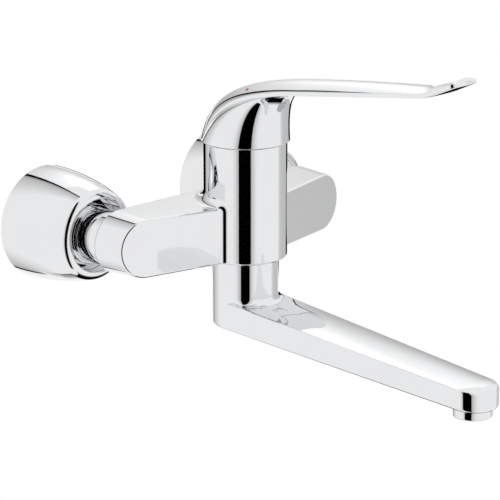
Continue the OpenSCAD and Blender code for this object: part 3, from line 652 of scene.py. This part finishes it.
def arm(skin, sections, low_rows, pad, edge):
    """Adds the edges and the flat faces of the arm, and the inlet's bore in its back."""
    sweep, draft = math.tan(SWEEP), math.tan(DRAFT)
    turns = spread(QUARTER, -QUARTER, END_STEPS)
    fronts, backs = [], []
    for q in turns:
        out = Vector((math.cos(q), draft, math.sin(q))).normalized()
        reach = END_X + HALF * math.cos(q)
        ahead = (FOLD - sweep * reach) / (1 - sweep * draft * math.cos(q))
        fronts.append(edge_round(arm_end(q, HALF - ahead * draft, ahead), ARM_FRONT, out, edge))
        backs.append(edge_round(arm_end(q, BACK_HALF, BACK), out, BEHIND, edge))
    contacts, last_low = column(sections, -1), low_rows[-1]
    middle_top, middle_low = (
        edge_round(Vector((0, BACK, z)), normal, BEHIND, edge)
        for z, normal in ((BACK_HALF, ARM_TOP), (-BACK_HALF, ARM_LOW))
    )
    skin.sheet([contacts[:EDGE_STEPS + 1], *fronts, last_low])
    skin.sheet([middle_top, *backs, middle_low])
    skin.sheet([column(fronts, -1), column(backs, 0)])

    # Front, top and underside
    skin.face([*column(fronts, 0), last_low[0], contacts[0]])
    behind = reversed(contacts[EDGE_STEPS + 1:])
    skin.face([contacts[EDGE_STEPS], fronts[0][-1], backs[0][0], middle_top[0], *behind])
    low = reversed(column(low_rows, -1))
    skin.face([backs[-1][0], fronts[-1][-1], *low, *pad, middle_low[0]])

    # Back with the inlet's bore, whose inner half mirrors its outer half
    outer = [arm_end(q, INLET_R, BACK) for q in turns]
    inner = [Vector((2 * END_X - p.x, p.y, p.z)) for p in outer]
    skin.sheet([column(backs, -1), outer])
    skin.face([middle_top[-1], backs[0][-1], *inner, backs[-1][-1], middle_low[-1]])
    mouth = outer + inner[-2::-1]
    bottom = [p + Vector((0, INLET_DEEP, 0)) for p in mouth]
    skin.sheet([mouth, bottom])
    skin.face(bottom[:-1])


class TAP_OT_body(Operator):
    """Builds the casting: a tower on a swept cross arm, with rolled fillets between them"""

    bl_idname = "tap.body"
    bl_label = "Body casting"

    def execute(self, context):
        sizes = context.scene.tap_sizes
        skin, edge = Skin(), sizes.arm_round / MM
        sections, low_rows = arm_fillet(skin, sizes.arm_fillet / MM, edge)
        pad = tower(skin, sections, low_rows[0], edge, sizes.tower_round / MM)
        arm(skin, sections, low_rows, pad, edge)
        dress(skin.make("tap_casting"), "tap_body", "chrome", "body_casting")
        return {"FINISHED"}


class TAP_OT_cover_ring(Operator):
    """Turns the low cone that hides the cartridge nut"""

    bl_idname = "tap.cover_ring"
    bl_label = "Cover ring"

    def execute(self, context):
        # Radius, height and round of each corner
        corners = [
            (21.05, 54.0, 0), (24.55, 54.0, 0.2), (24.55, 55.2, 0.5), (19.4, 59.4, 0.8),
            (15.2, 59.4, 0.3), (15.2, 58.4, 0.3), (18.8, 58.4, 0), (21.05, 55.2, 0),
        ]
        piece = turned("nut_cover", corners, from_tower(0, 0, 0), (0, 0, 1), steps=4)
        dress(piece, "tap_body", "chrome", "cover_ring")
        return {"FINISHED"}


# Sizes of the spout in millimetres, about the tower's axis
HUB_R, END_R, REACH = 20.3, 14.99, 181.0
HUB_TOP, HUB_LIP, HUB_BORE_R, HUB_BORE_END = -18.35, 0.6, 13.05, -41.0
TOP_ROOT, TOP_END, LOW_ROOT, LOW_END = -42.5, -57.6, -60.3, -70.4
BOSS_R, BOSS_Z = 11.65, -71.45
FRONT_STEPS, BACK_STEPS, CAP_STEPS, SIDE_STEPS = 22, 30, 30, 24
LOW_STEPS, BOSS_STEPS, CROWN_ROWS = 7, 32, 3
# The line where the hub meets the bar's side, from straight ahead
SIDE_TURN = math.acos((HUB_R - END_R) / REACH)
TOP_FALL, LOW_FALL = (TOP_ROOT - TOP_END) / REACH, (LOW_ROOT - LOW_END) / REACH
BAR_TOP = Vector((0, TOP_FALL, 1)).normalized()
BAR_LOW = -Vector((0, LOW_FALL, 1)).normalized()


def on_top(x, ahead):
    return Vector((x, ahead, TOP_ROOT - TOP_FALL * ahead))


def on_low(x, ahead):
    return Vector((x, ahead, LOW_ROOT - LOW_FALL * ahead))


def low_round(out, r, ahead, radius):
    """Points across the lower edge at a direction from an upright axis."""
    corner = on_low(out.x * r, ahead + out.y * r)
    return edge_round(corner, out, BAR_LOW, radius, LOW_STEPS)


def hub_fillet(skin, radius, edge):
    """Rolls the fillet from straight ahead to the bar's edge and on to where it dies out."""
    ball = Fillet(
        HUB_R, radius, about(SIDE_TURN, 1, 0), HUB_R, BAR_TOP,
        TOP_ROOT * BAR_TOP.z, edge, Vector((0, 1, 0)),
    )
    past = [ball.past_edge(share) for share in spread(1, 0, EDGE_STEPS)]
    turns = spread(0, turn_of(past[0][0]), FRONT_STEPS)
    stations = [ball.over_top(turn) for turn in turns[:-1]] + past
    sections = [ball.section(*station) for station in stations]
    skin.sheet(sections)
    return sections


def hub(skin, sections, hub_low, back_turns):
    """Adds the hub's wall, down to the fillet in front and whole at the back, and its bore."""
    wall_top, contacts = HUB_TOP - HUB_LIP, column(sections, 0)
    front_turns = [*(turn_of(p) for p in contacts[:-1]), SIDE_TURN]
    skin.sheet([ring(front_turns, HUB_R, wall_top), contacts])
    upper, lower = ring(back_turns, HUB_R, wall_top), column(hub_low, 0)
    # The first face of the back also meets the end of the fillet
    skin.face([upper[1], upper[0], contacts[-1], *lower[:2]])
    skin.sheet([lower[1:], upper[1:]])
    skin.bore(front_turns + back_turns[1:], [
        *rim_round(HUB_R, HUB_TOP, HUB_LIP), (HUB_BORE_R, HUB_TOP), (HUB_BORE_R, HUB_BORE_END),
    ])


def bar(skin, sections, hub_low, cap_low, cap_top):
    """Adds the bar's edges, side and end, and returns the outline of its top face."""
    ends = column(sections[FRONT_STEPS:], -1)
    edges = [spread(a, b, SIDE_STEPS) for a, b in zip(reversed(ends), cap_top[0])]
    skin.sheet(edges)
    skin.sheet(cap_top)
    skin.sheet([*reversed(hub_low), *cap_low])
    skin.sheet([column(cap_top, 0), column(cap_low, 0)])
    skin.face([sections[-1][0], *edges[0][1:], cap_low[0][0], hub_low[0][0]])
    return edges[-1] + column(cap_top[1:], -1)


def crowned(skin, start, rim, height):
    """Adds the crowned top face, from its middle line out to its rim."""
    cap, end = rim[SIDE_STEPS].y, rim[-1].y
    rows = [start]
    for i, outer in enumerate(rim[1:], 1):
        ahead = mix(start[0].y, cap, i / SIDE_STEPS) if i <= SIDE_STEPS else outer.y
        rise = height * min(1.0, i / CROWN_ROWS)
        if outer.y > cap:
            rise *= math.sqrt(max(0.0, 1 - ((outer.y - cap) / (end - cap)) ** 2))
        middle = on_top(0, ahead)
        rows.append([
            mix(middle, outer, t) + Vector((0, 0, rise * (1 - t * t)))
            for t in spread(0, 1, FRONT_STEPS)
        ])
    skin.sheet(rows)


def underside(skin, hub_low, cap_low):
    """Adds the flat underside and the boss over the outlet."""
    boss = ring(spread(math.pi, 0, BOSS_STEPS), BOSS_R, 0)
    boss_top = [on_low(p.x, REACH + p.y) for p in boss]
    boss_low = [Vector((p.x, p.y, BOSS_Z)) for p in boss_top]
    outline = [*reversed(column(hub_low, -1)), *column(cap_low, -1)]
    skin.face([*outline, *reversed(boss_top)])
    skin.sheet([boss_top, boss_low])
    skin.face(boss_low)


class TAP_OT_spout(Operator):
    """Builds the swivel spout: hub, tapering bar and rounded end, with a fillet at the hub"""

    bl_idname = "tap.spout"
    bl_label = "Spout"

    def execute(self, context):
        sizes, skin = context.scene.tap_sizes, Skin()
        edge, low_edge = sizes.bar_top_round / MM, sizes.bar_bottom_round / MM
        sections = hub_fillet(skin, sizes.hub_fillet / MM, edge)

        # Edges round the hub's back and round the bar's end
        back_turns = spread(SIDE_TURN, math.pi, BACK_STEPS)
        hub_low = [low_round(out, HUB_R, 0, low_edge) for out in ring(back_turns, 1, 0)]
        cap_out = ring(spread(SIDE_TURN, 0, CAP_STEPS), 1, 0)
        cap_low = [low_round(out, END_R, REACH, low_edge) for out in cap_out]
        cap_top = []
        for out, turn in zip(cap_out, spread(0, QUARTER, CAP_STEPS)):
            corner = on_top(out.x * END_R, REACH + out.y * END_R)
            soft = mix(edge, sizes.bar_end_round / MM, math.sin(turn) ** 2)
            cap_top.append(edge_round(corner, out, BAR_TOP, soft))

        hub(skin, sections, hub_low, back_turns)
        rim = bar(skin, sections, hub_low, cap_low, cap_top)
        crowned(skin, column(sections, -1)[:FRONT_STEPS + 1], rim, sizes.bar_crown / MM)
        underside(skin, hub_low, cap_low)
        dress(skin.make("swivel_bar"), "swivel_spout", "chrome", "spout")
        return {"FINISHED"}


class TAP_OT_aerator(Operator):
    """Turns the aerator housing under the end of the spout"""

    bl_idname = "tap.aerator"
    bl_label = "Aerator"

    def execute(self, context):
        mouth = context.scene.tap_sizes.nozzle_round / MM
        # Radius, height and round of each corner
        corners = [
            (7.05, -76.4, 0.4), (11.65, -76.4, mouth), (11.65, -71.5, 0.2), (9.6, -71.5, 0),
            (9.6, -65.4, 0.3), (8.1, -65.4, 0.2), (8.1, -75.4, 0), (7.05, -75.4, 0),
        ]
        piece = turned("nozzle", corners, from_tower(0, REACH, 0), (0, 0, 1), steps=5)
        dress(piece, "swivel_spout", "chrome", "aerator_housing")
        return {"FINISHED"}


# Sizes of the lever in millimetres, over its rim and ahead of the tower's axis
RIM_Z, RIM_R, RIM_ROUND = 54.6, 26.85, 0.35
ROOT_W, NECK_W, BEND_W, TIP_W = 19.0, 15.2, 12.4, 10.8
NECK_END = Vector((58.0, 40.1))
BLADE, TIP, TIP_ROUND = math.radians(7.8), math.radians(24.0), math.radians(84)
BEND_REACH, TIP_LEN, ROOT_EDGE, EDGE, BELLY = 151.0, 21.95, 0.1, 2.2, 0.6
NECK_CROWN, BEND_CROWN, TIP_CROWN, SWELL = 5.3, 2.8, 1.6, 3.2
BEND_SOFT, TIP_SOFT = 5.0, 4.0
# Rise and pulls of the two curves up the neck
STRAP_RISE, STRAP_PULLS = math.radians(67.7), (21.4, 57.5)
FRONT_RISE, FRONT_PULLS = math.radians(92), (37.2, 17.9)
# Shares of the neck over which its direction is taken, turns true and its edge grows
LOOK_ON, TURN_TRUE, EDGE_GROWS = 0.01, 0.3, 0.6
# How width, turn, swell and crown ease along the lever, and the swell's own peak
WIDTH_EASE, TURN_EASE, SWELL_EASE, CROWN_EASE, SWELL_PEAK = 2.5, 2.2, 3.5, 1.75, 0.0922
# Radius and height of the hollow under the neck, from its mouth to its roof
HOLLOW = ((25.7, 0.0), (21.95, 6.0), (18.95, 13.4))
NECK_STEPS, BLADE_STEPS, BEND_STEPS, LIFT_STEPS, TIP_STEPS = 96, 28, 10, 6, 10
UNDER_STEPS, CROWN_STEPS, SOFT_STEPS, RIM_STEPS = 22, 14, 3, 4
PLUG_AHEAD, PLUG_Z, BORE_R, BORE_DEEP = 27.0, 24.6, 3.3, 24
LEVER_CREASE = 40


def heading(angle):
    """Unit vector at an angle, as (ahead, up)."""
    return Vector((math.cos(angle), math.sin(angle)))


def upright_to(direction):
    """Unit vector a quarter turn over a direction."""
    return Vector((-direction.y, direction.x)).normalized()


def neck_curves():
    """The strap's edge and the front of the neck, as (ahead, over the rim)."""
    blade = heading(BLADE)

    def pulled(start, end, rise, pulls):
        return start, start + heading(rise) * pulls[0], end - blade * pulls[1], end

    root = Vector((-math.sqrt(RIM_R**2 - ROOT_W**2), 0))
    below = NECK_END - upright_to(blade) * (EDGE + BELLY)
    strap = pulled(root, NECK_END, STRAP_RISE, STRAP_PULLS)
    return strap, pulled(Vector((RIM_R, 0)), below, FRONT_RISE, FRONT_PULLS)


def lever_stations():
    """Edge point, normal, underside point, half width, crown, edge and turn along it."""
    strap, front = neck_curves()
    root_turn = math.pi - math.asin(ROOT_W / RIM_R)
    root_crown = RIM_R + strap[0].x
    made = []
    for t in spread(0, 1, NECK_STEPS):
        on = min(1, t + LOOK_ON)
        true = upright_to(curve(strap, on) - curve(strap, on - LOOK_ON))
        normal = mix(Vector((-1, 0)), true, min(1, t / TURN_TRUE)).normalized()
        swell = SWELL * t * (1 - t) ** SWELL_EASE / SWELL_PEAK
        made.append((
            curve(strap, t), normal, curve(front, t),
            mix(NECK_W, ROOT_W, (1 - t) ** WIDTH_EASE),
            mix(root_crown, NECK_CROWN, t) + swell,
            mix(ROOT_EDGE, EDGE, min(1, t / EDGE_GROWS)),
            mix(root_turn, QUARTER, t**TURN_EASE),
        ))

    def on_blade(point, angle, w, crown):
        normal = upright_to(heading(angle))
        under = point - normal * (EDGE + BELLY)
        made.append((point, normal, under, w, crown, EDGE, QUARTER))

    blade, tip = heading(BLADE), heading(TIP)
    to_bend = BEND_REACH - NECK_END.x
    bend = NECK_END + Vector((1, math.tan(BLADE))) * to_bend
    bend_from, bend_to = bend - blade * BEND_SOFT, bend + tip * BEND_SOFT
    tip_point = bend + tip * TIP_LEN
    tip_start = tip_point - tip * TIP_SOFT
    for t in spread(0, 1, BLADE_STEPS)[1:]:
        crown = mix(NECK_CROWN, BEND_CROWN, t**CROWN_EASE)
        w = mix(NECK_W, BEND_W, t)
        on_blade(mix(NECK_END, bend_from, t), BLADE, w, crown)
    for t in spread(0, 1, BEND_STEPS)[1:]:
        angle = mix(BLADE, TIP, t)
        on_blade(curve((bend_from, bend, bend_to), t), angle, BEND_W, BEND_CROWN)
    for t in spread(0, 1, LIFT_STEPS)[1:-1]:
        w, crown = mix(BEND_W, TIP_W, t), mix(BEND_CROWN, TIP_CROWN, t)
        on_blade(mix(bend_to, tip_start, t), TIP, w, crown)
    for q in spread(0, TIP_ROUND, TIP_STEPS):
        point = tip_point - tip * (TIP_SOFT * (1 - math.sin(q)))
        w = TIP_W - TIP_SOFT * (1 - math.cos(q))
        on_blade(point, TIP, w, TIP_CROWN)
    return made


def half_ring(station, cut):
    """Half of the ring at a station, from the underside's middle to the crown's middle."""
    point, normal, under, w, crown, edge, turn = station
    rise = point - normal * edge - under
    across, deep = w / math.sin(turn), rise.length / (1 - math.cos(turn))
    belly, tops = [], []
    for q in spread(0, turn, UNDER_STEPS):
        p = under + rise.normalized() * (deep * (1 - math.cos(q)))
        belly.append(Vector((across * math.sin(q), p.x, p.y)))
    radius = (w * w + crown * crown) / (2 * crown)
    for q in spread(math.asin(min(1, w / radius)), 0, CROWN_STEPS):
        x = radius * math.sin(q)
        p = point + normal * (math.sqrt(radius * radius - x * x) - radius + crown)
        tops.append(Vector((x, p.x, p.y)))

    def soften(before, corner, after):
        """A corner rounded off, over less than half of the way to its neighbours."""
        ways = (before - corner, after - corner)
        a, b = (corner + way.normalized() * min(cut, way.length * 0.45) for way in ways)
        return [curve((a, corner, b), t) for t in spread(0, 1, SOFT_STEPS)]

    low_edge = soften(belly[-2], belly[-1], tops[0])
    top_edge = soften(belly[-1], tops[0], tops[1])
    return [*belly[:-1], *low_edge, *top_edge, *tops[1:]]


def bore_for_plug(piece):
    """Cuts the bore that the plug sits in."""
    drill = primitive(
        bpy.ops.mesh.primitive_cylinder_add, "plug_drill",
        vertices=48, radius=BORE_R * MM, depth=BORE_DEEP * MM,
        location=from_tower(0, PLUG_AHEAD + BORE_DEEP / 2, RIM_Z + PLUG_Z),
        rotation=(QUARTER, 0, 0),
    )
    apply_modifier(piece, "BOOLEAN", operation="DIFFERENCE", object=drill, solver="EXACT")
    bpy.data.objects.remove(drill)


class TAP_OT_lever(Operator):
    """Lofts the lever: hollow domed neck, long crowned blade and upturned tip"""

    bl_idname = "tap.lever"
    bl_label = "Lever"

    def execute(self, context):
        sizes = context.scene.tap_sizes
        rings = []
        for station in lever_stations():
            share = min(1.0, max(0.0, station[0].x / NECK_END.x))
            cut = mix(sizes.neck_round, sizes.strap_round, share) / MM
            rings.append(half_ring(station, cut))
        outline, rim = rings[0], RIM_ROUND
        rings[0] = [Vector((p.x, p.y, rim)) for p in outline]

        # Rim, hollow under the neck and its roof, from the outside in
        for q in spread(0, QUARTER, RIM_STEPS)[1:]:
            cut, height = rim * (1 - math.cos(q)), rim * (1 - math.sin(q))
            trimmed = [p.xy.normalized() * (p.xy.length - cut) for p in outline]
            rings.insert(0, [p.to_3d() + Vector((0, 0, height)) for p in trimmed])
        for r, height in HOLLOW:
            rings.insert(0, [Vector((*(p.xy.normalized() * r), height)) for p in outline])
        skin, lift = Skin(), Vector((0, 0, RIM_Z))
        rings = [[p + lift for p in points] for points in rings]
        skin.sheet(rings)
        skin.face(rings[0])
        skin.face(rings[-1])
        piece = skin.make("lever_shell")
        uncut = copied(piece, "uncut_shell")
        shade(uncut, LEVER_CREASE)
        bore_for_plug(piece)
        dress(piece, "lever", "chrome", "handle", LEVER_CREASE)
        # The cut leaves uneven faces, so the shell keeps the normals that it had before
        apply_modifier(
            piece, "DATA_TRANSFER", object=uncut,
            use_loop_data=True, data_types_loops={"CUSTOM_NORMAL"},
            loop_mapping="POLYINTERP_NEAREST", use_max_distance=True, max_distance=WELD,
        )
        bpy.data.objects.remove(uncut)
        return {"FINISHED"}


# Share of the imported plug's height that counts as its lower side
FOOT_SHARE = 0.05


def plug_foot(low, high):
    """Where the lower side of the plug's face lies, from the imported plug's own outline."""
    edge = mix(low.z, high.z, FOOT_SHARE)
    plug = frame["nodes"]["handle_plug"].data
    return min(v.co.y for v in plug.vertices if v.co.z < edge)


class TAP_OT_plug(Operator):
    """Makes the plug over the grub screw, its face laid along the flare of the neck"""

    bl_idname = "tap.plug"
    bl_label = "Plug"

    def execute(self, context):
        low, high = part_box("handle_plug")
        middle = (low + high) / 2
        radius = (high.x - low.x) / 2
        piece = primitive(
            bpy.ops.mesh.primitive_cylinder_add, "screw_plug",
            vertices=64, radius=radius, depth=high.y - low.y, end_fill_type="NGON",
            location=(0, middle.y, middle.z), rotation=(QUARTER, 0, 0),
        )
        apply_place()
        # The outer face leans with the neck: its upper side reaches further out
        foot_y = plug_foot(low, high)
        for v in piece.data.vertices:
            if v.co.y < middle.y:
                share = (v.co.z - (middle.z - radius)) / (2 * radius)
                v.co.y = mix(foot_y, low.y, share)
        mode("EDIT")
        bpy.ops.mesh.select_mode(type="FACE")
        bpy.ops.mesh.select_all(action="DESELECT")
        mode("OBJECT")
        for face in piece.data.polygons:
            face.select = face.normal.y < -0.5
        mode("EDIT")
        rim = context.scene.tap_sizes.plug_round
        bpy.ops.mesh.bevel(offset=rim, segments=4, profile=0.5, affect="EDGES")
        mode("OBJECT")
        dress(piece, "lever", "grey_plastic", "handle_plug")
        return {"FINISHED"}


class TAP_OT_inner_parts(Operator):
    """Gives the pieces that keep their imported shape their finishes"""

    bl_idname = "tap.inner_parts"
    bl_label = "Inner parts"

    def execute(self, context):
        for part in frame["record"]["subparts"]:
            node = frame["nodes"][part["node"]]
            if not node.hide_render:
                node.data.materials.clear()
                node.data.materials.append(made_finish(part["material_slot"]))
        return {"FINISHED"}


# Stage

EYE = (-1.17966, -1.26004, 0.4405)
LOOK = (math.radians(90 - 15.62), 0, math.radians(-45.54))
LENS, SENSOR = 204.24, 36
LAMP_SIZE, LAMP_POWER, LAMP_AT = 2.4, 24, (0, -0.13, 1.9)
FLOOR_SIZE, FLOOR_DROP = 1.8, 0.6
# Strength of the surround as a light, and as what the camera and reflections see
LIGHT, SEEN = 0.75, 1.0
BLACK, WHITE = ((0.0, 0.0), (1.0, 0.0)), ((0.0, 1.0), (1.0, 1.0))


def surround(scene):
    """A white surround, plain white to the camera and in reflections."""
    scene.world = scene.world or bpy.data.worlds.new("studio")
    scene.world.use_nodes = True
    tree = scene.world.node_tree
    tree.nodes.clear()
    rays = add(tree, "LightPath")
    seen = rays["Is Camera Ray"]
    for ray in ("Is Glossy Ray", "Is Transmission Ray"):
        seen = add(tree, "Math", {0: seen, 1: rays[ray]}, operation="MAXIMUM")["Value"]
    light, white = (
        add(tree, "Background", {"Color": (1, 1, 1, 1), "Strength": strength})["Background"]
        for strength in (LIGHT, SEEN)
    )
    both = add(tree, "MixShader", {"Fac": seen, 1: light, 2: white})["Shader"]
    add(tree, "OutputWorld", {"Surface": both})


def lay_floor():
    """A wide pale floor below the tap."""
    floor = primitive(
        bpy.ops.mesh.primitive_plane_add, "pale_floor", size=FLOOR_SIZE,
        location=(0, TOWER_Y, CAD_LOW.z - FLOOR_DROP),
    )
    floor.visible_glossy = False
    floor.data.materials.append(made_finish("floor"))


def hang_lamp(scene):
    """One broad soft lamp overhead."""
    lamp = bpy.data.lights.new("overhead_softbox", "AREA")
    lamp.shape = "RECTANGLE"
    lamp.size = lamp.size_y = LAMP_SIZE
    lamp.energy = LAMP_POWER
    box = bpy.data.objects.new("overhead_softbox", lamp)
    box.location = LAMP_AT
    box.visible_glossy = False
    scene.collection.objects.link(box)


def make_card(name, middle, half, rotation, across, up=WHITE, fade=0.0, strength=1.0):
    """A card graded across and upwards, and faded into the white surround at its ends."""
    card = primitive(
        bpy.ops.mesh.primitive_plane_add, name, size=2, location=middle, rotation=rotation
    )
    card.scale = (*half, 1)
    for way in ("camera", "diffuse", "shadow", "transmission", "volume_scatter"):
        setattr(card, f"visible_{way}", False)
    made = bpy.data.materials.new(name)
    made.use_nodes = True
    tree = made.node_tree
    tree.nodes.clear()
    parts = add(tree, "SeparateXYZ", {"Vector": add(tree, "TexCoord")["Object"]})

    def ramp(axis, stops):
        share = add(tree, "MapRange", {"Value": parts[axis], "From Min": -1.0})["Result"]
        graded = add(tree, "ValToRGB", {"Fac": share})["Color"]
        elements = graded.node.color_ramp.elements
        while len(elements) < len(stops):
            elements.new(0.5)
        for element, (at, value) in zip(elements, stops):
            element.position = at
            element.color = (value, value, value, 1)
        return graded

    faded = BLACK
    if fade:
        faded = ((0.0, 1.0), (fade / 2, 0.0), (1 - fade / 2, 0.0), (1.0, 1.0))
    tone = {"Factor": 1.0, "A": ramp("X", across), "B": ramp("Y", up)}
    ends = {
        "Factor": ramp("Y", faded), "B": (1 / strength, 1 / strength, 1 / strength, 1),
        "A": add(tree, "Mix", tone, data_type="RGBA", blend_type="MULTIPLY")["Result"],
    }
    glow = {"Color": add(tree, "Mix", ends, data_type="RGBA")["Result"], "Strength": strength}
    add(tree, "OutputMaterial", {"Surface": add(tree, "Emission", glow)["Emission"]})
    card.data.materials.append(made)


def upright_card(name, azimuth, away, across, up, *stops, **more):
    """A card that stands at an azimuth round the tower."""
    turn = math.radians(azimuth)
    along = Vector((math.cos(turn), math.sin(turn), 0))
    middle = Vector((0, TOWER_Y, 0)) + Vector((math.sin(turn), -math.cos(turn), 0)) * away
    middle += along * (sum(across) / 2) + Vector((0, 0, sum(up) / 2))
    half = ((across[1] - across[0]) / 2, (up[1] - up[0]) / 2)
    make_card(name, middle, half, (QUARTER, 0, turn), *stops, **more)


def put_cards():
    """Dark and graded cards round the tap that only reflections see."""
    near = (
        (0.0, 1.0), (0.14, 0.97), (0.23, 0.82), (0.33, 0.5),
        (0.67, 0.5), (0.77, 0.82), (0.86, 0.97), (1.0, 1.0),
    )
    right = ((0.0, 1.0), (0.2, 0.72), (0.36, 0.64), (1.0, 0.58))
    left = (
        (0.0, 0.0), (0.09, 0.0), (0.11, 0.35), (0.2, 0.58),
        (0.34, 0.66), (0.52, 0.76), (0.78, 0.9), (1.0, 1.0),
    )
    back = ((0.0, 0.75), (0.42, 0.78), (0.58, 1.0), (0.69, 1.0), (0.81, 0.8), (1.0, 0.66))
    lift = (
        (0.0, 0.4), (0.12, 0.48), (0.24, 0.6), (0.4, 0.76),
        (0.55, 0.86), (0.75, 0.95), (1.0, 1.0),
    )
    floor_at = Vector((0.28, 0.0, -0.55))
    upright_card("dark_card", -47, 0.36, (-0.104, 0.104), (-0.9, 1.2), BLACK)
    upright_card("graded_card", -47, 0.365, (-0.31, 0.31), (-1.1, 1.5), near, fade=0.3)
    upright_card("right_card", 84, 0.5, (-0.3, 0.16), (-0.5, 0.16), right, fade=0.25)
    upright_card("right_flag", 132, 0.55, (-0.34, 0.0), (-0.2, -0.01), BLACK)
    upright_card("back_flag", 132, 0.55, (0.0, 0.46), (-0.2, 0.0), BLACK)
    make_card("floor_card", floor_at, (0.32, 0.4), (0, 0, 0), BLACK, fade=0.45)
    upright_card("left_card", 180, 0.6, (-0.1, 0.42), (-0.9, 2.2), left, fade=0.2)
    upright_card("bright_card", 180, 0.62, (-1.4, -0.1), (0.1, 1.0), back, lift, strength=1.6)


class TAP_OT_stage(Operator):
    """Sets up the camera, the pale floor, the studio light and the cards that chrome reflects"""

    bl_idname = "tap.stage"
    bl_label = "Stage"

    def execute(self, context):
        scene = context.scene
        camera = bpy.data.cameras.new("photo_camera")
        camera.lens, camera.sensor_width = LENS, SENSOR
        eye = bpy.data.objects.new("photo_camera", camera)
        eye.location, eye.rotation_euler = EYE, LOOK
        scene.collection.objects.link(eye)
        scene.camera = eye
        scene.view_settings.view_transform = "Standard"
        surround(scene)
        lay_floor()
        hang_lamp(scene)
        put_cards()
        return {"FINISHED"}


class TAP_PT_panel(Panel):
    """Lists the pieces of the tap in the sidebar"""

    bl_idname = "TAP_PT_panel"
    bl_label = "Elbow lever tap"
    bl_space_type = "VIEW_3D"
    bl_region_type = "UI"
    bl_category = "Tap"

    def draw(self, context):
        for step in STEPS:
            self.layout.operator(step.bl_idname)
        for group in (context.scene.tap_sizes, context.scene.tap_finishes):
            for key in group.__annotations__:
                self.layout.prop(group, key)


STEPS = (
    TAP_OT_stage, TAP_OT_escutcheons, TAP_OT_union_nuts, TAP_OT_body, TAP_OT_cover_ring,
    TAP_OT_spout, TAP_OT_aerator, TAP_OT_lever, TAP_OT_plug, TAP_OT_inner_parts,
)
CLASSES = (TapSizes, TapFinishes, *STEPS, TAP_PT_panel)


def register():
    for made in CLASSES:
        bpy.utils.register_class(made)
    bpy.types.Scene.tap_sizes = PointerProperty(type=TapSizes)
    bpy.types.Scene.tap_finishes = PointerProperty(type=TapFinishes)


def unregister():
    del bpy.types.Scene.tap_sizes, bpy.types.Scene.tap_finishes
    for made in reversed(CLASSES):
        bpy.utils.unregister_class(made)


def main():
    register()
    for step in STEPS:
        name = step.bl_idname.split(".")[1]
        getattr(bpy.ops.tap, name)()


if __name__ == "__main__":
    main()
